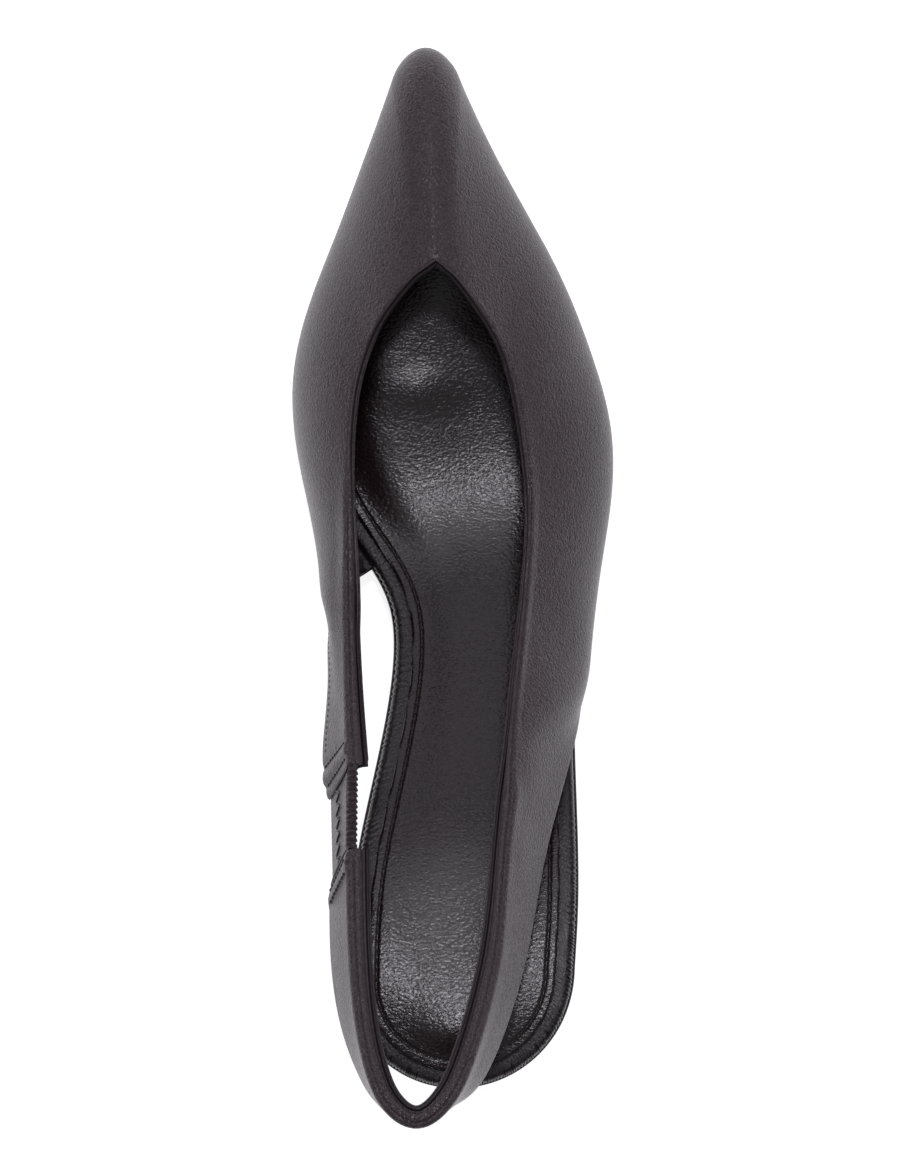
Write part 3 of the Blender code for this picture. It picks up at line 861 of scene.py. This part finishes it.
def slanted(places, slant):
    """The same places, with each stitch turned a little about its normal."""
    found = []
    for centre, way, normal in places:
        side = np.cross(normal, way)
        found.append((centre, unit(way + slant * side), normal))
    return found


def upper_stitching(skin, finish):
    """The fine stitched lines along the whole fold, each in its groove."""
    groups = []
    for row in STITCH_ROWS:
        turns = np.linspace(row.start, row.end, 400)
        line = skin_line(skin, [(turn, band_value("wide", turn) * row.share) for turn in turns])
        places = slanted(along_line(*line, row.pitch), row.slant)
        groups.append(stitch_mesh(places, row.long, row.thick, sunk=0.00001))
    return new_piece("topline_stitching", *joined(groups), finish, "upper", "upper_leather")


def cutout_stitching(skin, finish):
    """The stitched line beside the free lower edges, and the two rows at each end seam."""
    pitch = 0.00150
    beside_edge = 0.0018
    turns = np.linspace(QUARTER_END + 0.022, -0.512, 260)
    line = skin_line(skin, [(turn, lower_depth(skin, turn) - beside_edge) for turn in turns])
    fine = stitch_mesh(along_line(*line, pitch), length=0.00092, radius=0.00014, sunk=0.00002)
    places = []
    for end, way in BAND_ENDS:
        for behind in SEAMS_BEHIND:
            turn = end + way * behind
            depths = np.linspace(0.0046, lower_depth(skin, turn) - 0.0008, 60)
            line = skin_line(skin, [(turn, depth) for depth in depths])
            places += along_line(*line, pitch)
    bold = stitch_mesh(places, length=0.00122, radius=0.00036, sunk=-0.00004)
    return new_piece("seam_stitching", *joined([fine, bold]), finish, "upper", "upper_leather")


def lower_depth(skin, turn):
    """Depth of the upper's lower edge below its topline."""
    return float(np.interp(turn, skin.turns, skin.depths[:, -1]))


def bar_tack(skin, finish):
    """The few stitches that hold the point of the throat."""
    pitch = 0.00042
    middle, normal = skin.place(turn=0.0, depth=0.0010)
    places = []
    for k in (-1, 0, 1):
        centre = middle + np.array([pitch * k, 0.0002 * abs(k), 0.0])
        places.append((centre, unit(np.array([0.10 * k, 1.0, 0.0])), normal))
    made = stitch_mesh(places, length=0.0012, radius=0.00020, sunk=-0.00012)
    return new_piece("throat_tack", *made, finish, "upper", "upper_leather")


GATHERS = 15
FLAT_RIB = 0.00002  # half the height of the gore's ribs low down
GATHERED_RIB = 0.00032  # how much higher they are where the gore is gathered
ZIGZAG_TEETH = 6


def gore_face(skin, inset):
    """The elastic's face between the strap's end and the quarter's end, with its gathers."""
    down_count = 44
    along_count = 85
    edges = []
    for end in (-1, 0):
        curve = Path(skin.outer[end])
        edges.append(curve.at(np.linspace(0.0010, curve.total - 0.0012, down_count)))
    first, last = edges
    run = np.linalg.norm(last.mean(axis=0) - first.mean(axis=0))
    margin = 0.0002 / run
    shares = np.linspace(margin, 1 - margin, along_count)[:, None, None]
    grid = first + shares * (last - first)
    normals = grid_normals(grid)
    normals *= np.sign((normals * skin.outer_normals[-1].mean(axis=0)).sum(axis=2).mean())
    down = np.linspace(0, 1, down_count)[None, :]
    gathers = np.cos(2 * math.pi * GATHERS * shares[:, :, 0])
    at_top = 1 - smooth_step(down, 0.20, 0.28)
    strength = FLAT_RIB + GATHERED_RIB * at_top
    away = np.minimum(shares, 1 - shares)[:, :, 0]
    settled = smooth_step(away, 0.0, 0.06)
    height = strength * gathers * settled - inset
    grid = grid + height[:, :, None] * normals
    top_pull = 0.000175 * (1 + gathers) * settled * (1 - smooth_step(down, 0.0, 0.12))
    return grid - top_pull[:, :, None] * np.array([1.0, 0.0, 0.0]), normals


def gore(skin, finish):
    """The elastic gore, ribbed where it is gathered."""
    thickness = 0.0011
    outer, normals = gore_face(skin, inset=0.0005)
    made = shell(outer, outer - thickness * normals)
    return new_piece("elastic_gore", *made, finish, "elastic", "elastic_gore")


def gore_stitching(skin, finish):
    """The zigzag seam down the middle of the gore's outer face."""
    grid, normals = gore_face(skin, inset=0.0004)
    count, size, _ = grid.shape
    line = []
    facing = []
    for k in range(2 * ZIGZAG_TEETH + 1):
        i = int(round(2 + (count - 5) * k / (2 * ZIGZAG_TEETH)))
        j = int(round(size * (0.64 + 0.10 * (-1) ** k)))
        line.append(grid[i, j])
        facing.append(normals[i, j])
    places = []
    for start, stop, normal in zip(line, line[1:], facing):
        places.append(((start + stop) / 2, unit(stop - start), unit(normal)))
    length = float(np.mean([np.linalg.norm(b - a) for a, b in zip(line, line[1:])]))
    made = stitch_mesh(places, 0.92 * length, radius=0.00022, sunk=-0.00004)
    return new_piece("gore_stitching", *made, finish, "elastic", "elastic_gore")


def outline_rings(rings, steps, wave=None):
    """Points of rings round the sole, each given by its outset and its height above the sole."""
    turns = np.linspace(-1, 1, 2 * steps, endpoint=False)
    points = []
    for k, (outset, above) in enumerate(rings):
        for turn in turns:
            push, lift = wave(turn, k) if wave else (0.0, 0.0)
            x, y = sole_edge(turn, outset + push)
            points.append((x, y, layer_height(y, above + lift)))
    size = len(turns)
    faces = side_faces(len(rings), size)
    for k in (0, len(rings) - 1):
        for i in range(steps):
            a = k * size + i
            b = k * size + i + 1
            c = k * size + (size - i - 1) % size
            d = k * size + (size - i) % size
            faces.append(tuple(dict.fromkeys((a, b, c, d))))
    return points, faces


def outsole(finish):
    """The leather sole with a rounded edge and a fine channel round its underside."""
    low = -OUTSOLE_THICKNESS
    edge = 0.0006
    channel = 0.00025
    rings = [
        (OUTSOLE_LIP - 0.0062, low),
        (OUTSOLE_LIP - 0.0046, low),
        (OUTSOLE_LIP - 0.0044, low + channel),
        (OUTSOLE_LIP - 0.0041, low + channel),
        (OUTSOLE_LIP - 0.0039, low),
        (OUTSOLE_LIP - 0.0012, low),
        (OUTSOLE_LIP - edge, low + 0.00005),
        (OUTSOLE_LIP - 0.3 * edge, low + 0.3 * edge),
        (OUTSOLE_LIP, low + edge),
        (OUTSOLE_LIP, -edge),
        (OUTSOLE_LIP - 0.12 * edge, -0.4 * edge),
        (OUTSOLE_LIP - 0.5 * edge, 0),
        (-0.003, 0),
    ]
    made = outline_rings(rings, steps=260)
    return new_piece("outsole_leather", *made, finish, "outsole", "outsole_leather")


def pleats(turn):
    """Depth of the small pleats where the cover turns over the footbed's edge."""
    pitch = 0.00180
    place = abs(turn)
    run = place * LENGTH * 1.9
    pace = run / pitch + 0.35 * math.sin(run / 0.0043) + 0.3 * math.sin(run / 0.0027)
    heel = float(smooth_step(place, 0.60, 0.74))
    waist = float(smooth_step(-turn, 0.46, 0.52))
    return math.cos(2 * math.pi * pace) * max(heel, waist)


def footbed(finish):
    """The footbed in its leather cover, which is pleated round the edge."""
    top = FOOTBED_THICKNESS
    shape = [
        (-0.0006, GAP),
        (0.0, GAP + 0.0005),
        (0.0, top - 0.0024),
        (0.00005, top - 0.0018),
        (0.0, top - 0.0013),
        (-0.00018, top - 0.0008),
        (-0.00055, top - 0.00034),
        (-0.00105, top - 0.00008),
        (-0.0017, top),
        (-0.0026, top),
        (-0.0036, top),
        (-0.0048, top - 0.0001),
        (-0.0080, top - 0.0002),
    ]
    strength = (0, 0.3, 0.6, 1.0, 1.0, 1.0, 0.9, 0.7, 0.5, 0.3, 0.15, 0, 0)
    pleat_depth = 0.00024
    first_on_top = 6

    def wave(turn, k):
        size = pleat_depth * strength[k] * pleats(turn)
        return (size, 0.0) if k < first_on_top else (0.3 * size, 0.7 * size)

    made = outline_rings(shape, steps=700, wave=wave)
    return new_piece("footbed_cover", *made, finish, "footbed", "footbed_leather")


SOCK_SEAM = 0.0024
SOCK_TOP = FOOTBED_THICKNESS + GAP + SOCK_THICKNESS
SOCK_STEPS = 420
SOCK_SIDE_POINTS = 17
SOCK_MIDDLE_POINTS = 30


def sock_edge(turn, inside=0.0):
    """Point at a turn, a set distance inside the sock's edge, seen from above."""
    return sole_edge(turn, -SOCK_MARGIN - inside, SOCK_TOE_CUT)


HollowRow = namedtuple("HollowRow", "across along wide long height")
# Soft hills and, where height is negative, hollows that the foot leaves in the sock: the centre and
# the half widths as shares of LENGTH, and the height in metres.
HOLLOW_ROWS = rows(HollowRow, [
    (0.000, 0.150, 0.068, 0.070, -0.0010),
    (-0.008, 0.022, 0.045, 0.038, 0.0013),
    (-0.040, 0.430, 0.055, 0.110, 0.0005),
    (-0.045, 0.590, 0.090, 0.075, 0.0007),
    (0.045, 0.640, 0.050, 0.060, -0.0007),
    (-0.020, 0.668, 0.035, 0.022, 0.00055),
    (-0.068, 0.700, 0.030, 0.020, 0.00050),
    (-0.030, 0.770, 0.030, 0.035, -0.0006),
    (0.045, 0.735, 0.030, 0.030, -0.0006),
])


def sock_relief(x, y, inside):
    """Height of the sock's face: its raised edge, its stitched groove and the hollows of use."""
    edge = 0.00024 * smooth_step(inside, 0.0, 0.0005)
    groove = 0.00020 * math.exp(-(((inside - SOCK_SEAM) / 0.00034) ** 2))
    dome = 0.0006 * smooth_step(inside, SOCK_SEAM, 0.016)
    hollow = 0.0
    for row in HOLLOW_ROWS:
        across = (x / LENGTH - row.across) / row.wide
        along = (y / LENGTH - row.along) / row.long
        hollow += row.height * math.exp(-(across**2) - along**2)
    inner = smooth_step(inside, 0.003, 0.012)
    return edge - groove + dome + inner * hollow - 0.00018


def sock_face():
    """Points of the sock's face, in rows across it from the toe to the heel."""
    outline = np.array([sock_edge(turn) for turn in np.linspace(-1, 1, 900, endpoint=False)])
    near = np.linspace(0, 0.0042, SOCK_SIDE_POINTS)
    points = []
    for k in range(SOCK_STEPS + 1):
        turn = 0.0005 + 0.999 * k / SOCK_STEPS
        right, y = sock_edge(turn)
        left = sock_edge(-turn)[0]
        band = near * min(1.0, 0.35 * (right - left) / near[-1])
        inner = np.linspace(left + band[-1], right - band[-1], SOCK_MIDDLE_POINTS + 2)[1:-1]
        for x in np.concatenate([left + band, inner, right - band[::-1]]):
            away = np.hypot(outline[:, 0] - x, outline[:, 1] - y).min()
            height = SOCK_TOP + sock_relief(x, y, float(away))
            points.append((x, y, layer_height(y, height)))
    return points


def sock(finish):
    """The sock that lines the footbed, with its raised edge, stitched groove and hollows."""
    count = SOCK_STEPS
    size = 2 * SOCK_SIDE_POINTS + SOCK_MIDDLE_POINTS
    points = sock_face()
    faces = []
    for i in range(count):
        for j in range(size - 1):
            a = i * size + j
            faces.append((a, a + 1, a + size + 1, a + size))
    top = len(points)
    rim = list(range(size))
    rim += [i * size + size - 1 for i in range(1, count + 1)]
    rim += [count * size + j for j in reversed(range(size - 1))]
    rim += [i * size for i in reversed(range(1, count))]
    for place in rim:
        x, y, _ = points[place]
        points.append((x, y, layer_height(y, FOOTBED_THICKNESS + GAP)))
    for k in range(len(rim)):
        n = (k + 1) % len(rim)
        faces.append((rim[k], rim[n], top + n, top + k))
    faces += lower_ladder(top, size, count)
    return new_piece("sock_lining", points, faces, finish, "sock", "sock_leather", 65)


def lower_ladder(start, size, count):
    """Faces across the sock's underside, between the two sides of its rim."""
    total = 2 * (size - 1) + 2 * count
    front = [start + k for k in range(size)]
    right = [start + size - 1 + k for k in range(count + 1)]
    left = [start + (total - k) % total for k in range(count + 1)]
    faces = [tuple(front + [right[1], left[1]])]
    for k in range(1, count - 1):
        faces.append((left[k], right[k], right[k + 1], left[k + 1]))
    back = [start + size - 1 + count + k for k in range(size)]
    faces.append(tuple([left[count - 1], right[count - 1]] + back))
    return faces


def sock_stitching(finish):
    """The thread round the sock, sunk in its groove."""
    turns = np.linspace(-1, 1, 1400)
    points = []
    for turn in turns:
        x, y = sock_edge(turn, SOCK_SEAM)
        points.append((x, y, layer_height(y, SOCK_TOP - 0.00008)))
    slopes = [sole_height(p[1] + 0.001) - sole_height(p[1] - 0.001) for p in points]
    normals = [unit(np.array([0, -slope / 0.002, 1.0])) for slope in slopes]
    places = along_line(points, normals, pitch=0.00235)
    made = stitch_mesh(places, length=0.00125, radius=0.00034, sunk=0.00004)
    return new_piece("sock_stitching", *made, finish, "sock", "sock_leather")


HEEL_STEPS = 40
BREAST_STEPS = 12


def heel_outline(down):
    """Outline of the heel at one level: from the breast's outer corner round the back, and across."""
    back_edge = FOOTBED_BACK + HEEL_MARGIN
    toe_edge = FOOTBED_TOE - HEEL_MARGIN
    spread = math.acos(1 - 2 * (HEEL_BREAST - back_edge) / (toe_edge - back_edge)) / math.pi
    turns = [1 - spread * (1 - k / HEEL_STEPS) for k in range(2 * HEEL_STEPS + 1)]
    seat = [sole_edge(turn, -HEEL_MARGIN) for turn in turns]
    middle = (seat[0][0] + seat[-1][0]) / 2
    back = min(p[1] for p in seat)
    front = seat[0][1]
    width = HEEL["width"](down)
    near = HEEL_BREAST * HEEL["back"](down)
    far = HEEL_BREAST * HEEL["front"](down)
    level = []
    for x, y in seat:
        share = (y - back) / (front - back)
        level.append((middle * (1 - width) * 0.8 + x * width, near + share * (far - near)))
    return level + breast_points(np.array(level[-1]), np.array(level[0]))


def breast_points(last, first):
    """The breast's line across the front of a level, a little hollow."""
    width = abs(first[0] - last[0])
    found = []
    for k in range(1, BREAST_STEPS + 1):
        share = k / (BREAST_STEPS + 1)
        x, y = last + share * (first - last)
        found.append((x, y - 0.03 * width * 4 * share * (1 - share)))
    return found


def heel(finish):
    """The covered heel, which narrows smoothly from the seat to the top piece."""
    levels = 70
    turned_edge = 0.00035
    foot = TOP_PIECE_THICKNESS + GAP
    points = []
    for k in range(levels + 1):
        down = k / levels
        level = heel_outline(down)
        turned = turned_edge * (1 - smooth_step(down, 0.0, 0.012))
        turned += turned_edge * smooth_step(down, 0.985, 1.0)
        centre = np.mean(level, axis=0)
        for x, y in level:
            reach = max(math.hypot(x - centre[0], y - centre[1]), 1e-6)
            share = 1 - turned / reach
            x = centre[0] + share * (x - centre[0])
            y = centre[1] + share * (y - centre[1])
            seat = layer_height(y, -OUTSOLE_THICKNESS - GAP)
            points.append((x, y, seat + down * (foot - seat)))
    faces = ring_faces(levels + 1, len(level))
    return new_piece("heel_cover", points, faces, finish, "heel", "heel_leather", 35)


def top_piece(finish):
    """The rubber piece under the heel, with a soft edge and fine grooves round its side."""
    level = np.array(heel_outline(1.0))
    centre = level.mean(axis=0)
    reach = np.linalg.norm(level - centre, axis=1).max()
    rings = [(-0.0005, 0.0), (-0.00015, 0.00012), (0.0, 0.0004), (0.0, 0.0015)]
    rings += [(-0.00014, 0.0017), (0.0, 0.0019), (0.0, 0.0040), (-0.0002, 0.0045)]
    points = []
    for outset, height in rings:
        share = 1 + (TOP_PIECE_LIP + outset) / reach
        points += [(*(centre + share * (p - centre)), height) for p in level]
    faces = ring_faces(len(rings), len(level))
    return new_piece("top_piece_rubber", points, faces, finish, "top_piece", "top_piece_rubber", 40)


class Graph:
    """A material's nodes, linked in few words."""

    def __init__(self, name):
        self.material = bpy.data.materials.new(name)
        self.material.use_nodes = True
        self.nodes = self.material.node_tree.nodes
        self.links = self.material.node_tree.links
        self.shader = self.nodes["Principled BSDF"]

    def node(self, kind, inputs=None, **settings):
        """A node with its settings, and its inputs as values or as links."""
        made = self.nodes.new(kind)
        for name, value in settings.items():
            setattr(made, name, value)
        for name, value in (inputs or {}).items():
            if isinstance(value, bpy.types.NodeSocket):
                self.links.new(value, made.inputs[name])
            else:
                made.inputs[name].default_value = value
        return made

    def place(self, stretch=(1, 1, 1)):
        """Places on the piece in metres, stretched by a factor along each axis."""
        coords = self.node("ShaderNodeTexCoord").outputs["Object"]
        made = self.node("ShaderNodeMapping", {"Vector": coords, "Scale": stretch})
        return made.outputs["Vector"]

    def vector(self, operation, inputs):
        """One step of vector arithmetic."""
        return self.node("ShaderNodeVectorMath", inputs, operation=operation).outputs[0]

    def weighted(self, *parts):
        """Sum of values, each with its factor."""
        total = 0.0
        for value, factor in parts:
            inputs = {0: value, 1: factor, 2: total}
            total = self.node("ShaderNodeMath", inputs, operation="MULTIPLY_ADD").outputs[0]
        return total

    def noise(self, vector, scale, detail=2.0, roughness=0.5, output="Fac"):
        """Soft noise, with so many cells in a metre."""
        inputs = {"Vector": vector, "Scale": scale, "Detail": detail, "Roughness": roughness}
        return self.node("ShaderNodeTexNoise", inputs).outputs[output]

    def remap(self, value, low, high, to_low, to_high):
        """The value, moved from one range to another."""
        inputs = {"Value": value, "From Min": low, "From Max": high}
        inputs.update({"To Min": to_low, "To Max": to_high})
        return self.node("ShaderNodeMapRange", inputs).outputs["Result"]

    def blend(self, share, first, second):
        """A colour between two, by the share of the second."""
        inputs = {"Factor": share, 6: (*first, 1.0), 7: (*second, 1.0)}
        return self.node("ShaderNodeMix", inputs, data_type="RGBA").outputs[2]

    def set(self, **values):
        """Sets inputs of the shader, each a value or a link."""
        for name, value in values.items():
            socket = self.shader.inputs[name.replace("_", " ").title().replace("Ior", "IOR")]
            if isinstance(value, bpy.types.NodeSocket):
                self.links.new(value, socket)
            else:
                socket.default_value = value

    def finish(self, colour, roughness, relief, depth, **more):
        """The material with its colour, its roughness and a fine relief, deep as told in metres."""
        bump = self.node("ShaderNodeBump", {"Height": relief, "Distance": depth, "Strength": 1.0})
        self.set(base_color=colour, roughness=roughness, normal=bump.outputs["Normal"], **more)
        return self.material


def leather(
    name, dark, light, grain, depth, rough, coat=0.0, stretch=(1, 1, 1), creased=0.3, gloss=1.42
):
    """Grained leather: pebbles of a size in metres, creases between them, pores and soft tone."""
    graph = Graph(name)
    place = graph.place(stretch)
    warp = graph.noise(place, 0.45 / grain, 1.0, output="Color")
    moved = graph.vector("SUBTRACT", {0: warp, 1: (0.5, 0.5, 0.5)})
    moved = graph.vector("SCALE", {0: moved, "Scale": 1.4 * grain})
    warped = graph.vector("ADD", {0: place, 1: moved})
    pebbles = graph.node(
        "ShaderNodeTexVoronoi",
        {"Vector": warped, "Scale": 1 / grain, "Smoothness": 0.6},
        feature="SMOOTH_F1",
    ).outputs["Distance"]
    lines = graph.node(
        "ShaderNodeTexVoronoi",
        {"Vector": warped, "Scale": 0.8 / grain},
        feature="DISTANCE_TO_EDGE",
    ).outputs["Distance"]
    domes = graph.remap(pebbles, 0.05, 0.75, 1.0, 0.0)
    creases = graph.remap(lines, 0.0, 0.09, 0.0, 1.0)
    fine = graph.noise(place, 5 / grain, 3.0, 0.6)
    slow = graph.noise(place, 38.0)
    relief = graph.weighted((domes, 0.75), (creases, creased), (fine, 0.05), (slow, 0.4))
    tone = graph.weighted((slow, 0.7), (domes, 0.3))
    colour = graph.blend(graph.remap(tone, 0.25, 0.75, 0.0, 1.0), dark, light)
    roughness = graph.weighted((fine, 0.10), (slow, 0.06), (1.0, rough - 0.05))
    return graph.finish(
        colour, roughness, relief, depth, ior=gloss, coat_weight=coat, coat_roughness=0.25
    )


def thread(name, dark, light, rough):
    """Twisted thread: fine slanting strands across each stitch."""
    graph = Graph(name)
    place = graph.place()
    strands = graph.node(
        "ShaderNodeTexWave",
        {"Vector": place, "Scale": 1500.0, "Distortion": 2.0, "Detail": 1.0},
        bands_direction="DIAGONAL",
    ).outputs["Fac"]
    colour = graph.blend(graph.noise(place, 160.0), dark, light)
    sheen = {"sheen_weight": 0.25, "sheen_roughness": 0.4}
    return graph.finish(colour, rough, strands, depth=0.00004, **sheen)


def sole_finish(name):
    """Smooth sole leather: brushed fine lines along the sole, with faint scuffs."""
    graph = Graph(name)
    brushed = graph.noise(graph.place((1, 0.12, 1)), 2600.0, 3.0, 0.6)
    spots = graph.noise(graph.place(), 70.0, 4.0, 0.6)
    colour = graph.blend(spots, (0.010, 0.008, 0.009), (0.022, 0.017, 0.018))
    roughness = graph.remap(spots, 0.3, 0.7, 0.30, 0.46)
    coat = {"coat_weight": 0.15, "coat_roughness": 0.3}
    return graph.finish(colour, roughness, brushed, depth=0.00004, **coat)


def rubber(name):
    """Matt moulded rubber with a fine dull grain."""
    graph = Graph(name)
    place = graph.place()
    grain = graph.noise(place, 2800.0, 3.0, 0.7)
    slow = graph.noise(place, 240.0, 3.0)
    colour = graph.blend(slow, (0.010, 0.009, 0.010), (0.022, 0.020, 0.021))
    roughness = graph.remap(slow, 0.3, 0.7, 0.62, 0.78)
    return graph.finish(colour, roughness, grain, depth=0.00006)


def pale_floor():
    """A wide pale floor, not part of the shoe."""
    mesh = bpy.data.meshes.new("floor")
    work = bmesh.new()
    bmesh.ops.create_grid(work, x_segments=8, y_segments=8, size=4.0)
    work.to_mesh(mesh)
    work.free()
    graph = Graph("pale floor")
    tone = graph.noise(graph.place(), 3.0)
    colour = graph.blend(tone, (0.90, 0.90, 0.90), (0.92, 0.92, 0.92))
    graph.set(base_color=colour, roughness=0.9)
    graph.set(emission_color=(1, 1, 1, 1), emission_strength=0.78)
    mesh.materials.append(graph.material)
    floor = bpy.data.objects.new("floor", mesh)
    bpy.context.scene.collection.objects.link(floor)


def soft_box(name, place, target, wide, deep, power):
    """A large soft light that faces a point."""
    data = bpy.data.lights.new(name, "AREA")
    data.shape = "RECTANGLE"
    data.size = wide
    data.size_y = deep
    data.energy = power
    data.color = (1.0, 0.96, 1.05)
    made = bpy.data.objects.new(name, data)
    made.location = place
    way = Vector(target) - Vector(place)
    made.rotation_euler = way.to_track_quat("-Z", "Y").to_euler()
    bpy.context.scene.collection.objects.link(made)


def studio():
    """Dim even light all round and a brighter one overhead, with soft boxes above and beside."""
    world = bpy.data.worlds.new("studio")
    bpy.context.scene.world = world
    world.use_nodes = True
    nodes = world.node_tree.nodes
    links = world.node_tree.links
    coords = nodes.new("ShaderNodeTexCoord")
    parts = nodes.new("ShaderNodeSeparateXYZ")
    ramp = nodes.new("ShaderNodeValToRGB")
    links.new(coords.outputs["Generated"], parts.inputs[0])
    links.new(parts.outputs["Z"], ramp.inputs[0])
    below, overhead = ramp.color_ramp.elements
    overhead.position = 0.90
    below.color = (0.15, 0.145, 0.16, 1)
    overhead.color = (0.60, 0.588, 0.625, 1)
    ramp.color_ramp.elements.new(0.72).color = (0.14, 0.135, 0.15, 1)
    links.new(ramp.outputs["Color"], nodes["Background"].inputs["Color"])
    nodes["Background"].inputs["Strength"].default_value = 1.0
    soft_box("above", (0.15, 1.83, 6.0), (0, 0, 0), wide=0.7, deep=0.7, power=68.0)
    soft_box("over the toe", (0.0, 2.2, 3.4), (0, 0.1, 0.03), wide=3.0, deep=1.0, power=24.0)
    soft_box("in front", (0.0, 2.6, 1.8), (0, 0, 0.02), wide=1.6, deep=1.0, power=8.0)
    soft_box("outer side", (1.6, 0.1, 0.7), (0, 0, 0.05), wide=1.4, deep=0.9, power=0.6)


def camera():
    """The camera looks straight down, with the toe at the top of the frame."""
    height = 1.3
    frame_height = 1176 * 0.0002549  # rows of pixels, and the metres that each shows
    data = bpy.data.cameras.new("camera")
    data.sensor_width = 36
    data.lens = data.sensor_width * height / frame_height
    made = bpy.data.objects.new("camera", data)
    made.location = (0.0016 + OFFSET.x, 0.1222 + OFFSET.y, height)
    made.rotation_euler = (0, 0, math.radians(-1.966))
    bpy.context.scene.collection.objects.link(made)
    bpy.context.scene.camera = made


def main():
    """Builds every piece with its material, then the floor, the lights and the camera."""
    plum = ((0.035, 0.0232, 0.0278), (0.042, 0.0288, 0.0344))
    nappa = leather("nappa", *plum, grain=0.00065, depth=0.00017, rough=0.28, gloss=1.46)
    heel_skin = leather("heel leather", *plum, grain=0.0008, depth=0.00014, rough=0.31, gloss=1.46)
    lining = leather(
        "lining leather", (0.010, 0.0060, 0.0070), (0.016, 0.010, 0.012),
        grain=0.0008, depth=0.00005, rough=0.32,
    )
    rim = leather(
        "footbed leather", (0.008, 0.0045, 0.0055), (0.014, 0.009, 0.010),
        grain=0.0007, depth=0.00010, rough=0.34, coat=0.1, creased=0.2,
    )
    sock_skin = leather(
        "sock leather", (0.009, 0.0042, 0.0050), (0.015, 0.0080, 0.0092),
        grain=0.00070, depth=0.00005, rough=0.17, stretch=(0.80, 1.25, 1.0), creased=0.12,
        gloss=1.36,
    )
    tone_thread = thread("tonal thread", (0.006, 0.003, 0.004), (0.014, 0.008, 0.010), 0.55)
    sock_thread = thread("brown thread", (0.004, 0.0010, 0.0012), (0.010, 0.003, 0.003), 0.75)
    bright_thread = thread("tack thread", (0.10, 0.085, 0.09), (0.22, 0.19, 0.20), 0.4)

    skin = Skin()
    upper_leather(skin, nappa)
    upper_lining(skin, lining)
    topline_edge(skin, nappa)
    # Dark rods along the two ends of the band: painted shade.
    painted_end_shade(skin, lining)
    upper_stitching(skin, tone_thread)
    cutout_stitching(skin, tone_thread)
    bar_tack(skin, bright_thread)
    gore(skin, nappa)
    gore_stitching(skin, tone_thread)
    footbed(rim)
    sock(sock_skin)
    sock_stitching(sock_thread)
    outsole(sole_finish("sole leather"))
    heel(heel_skin)
    top_piece(rubber("rubber"))

    pale_floor()
    studio()
    camera()
    bpy.context.scene.view_settings.view_transform = "Standard"


main()
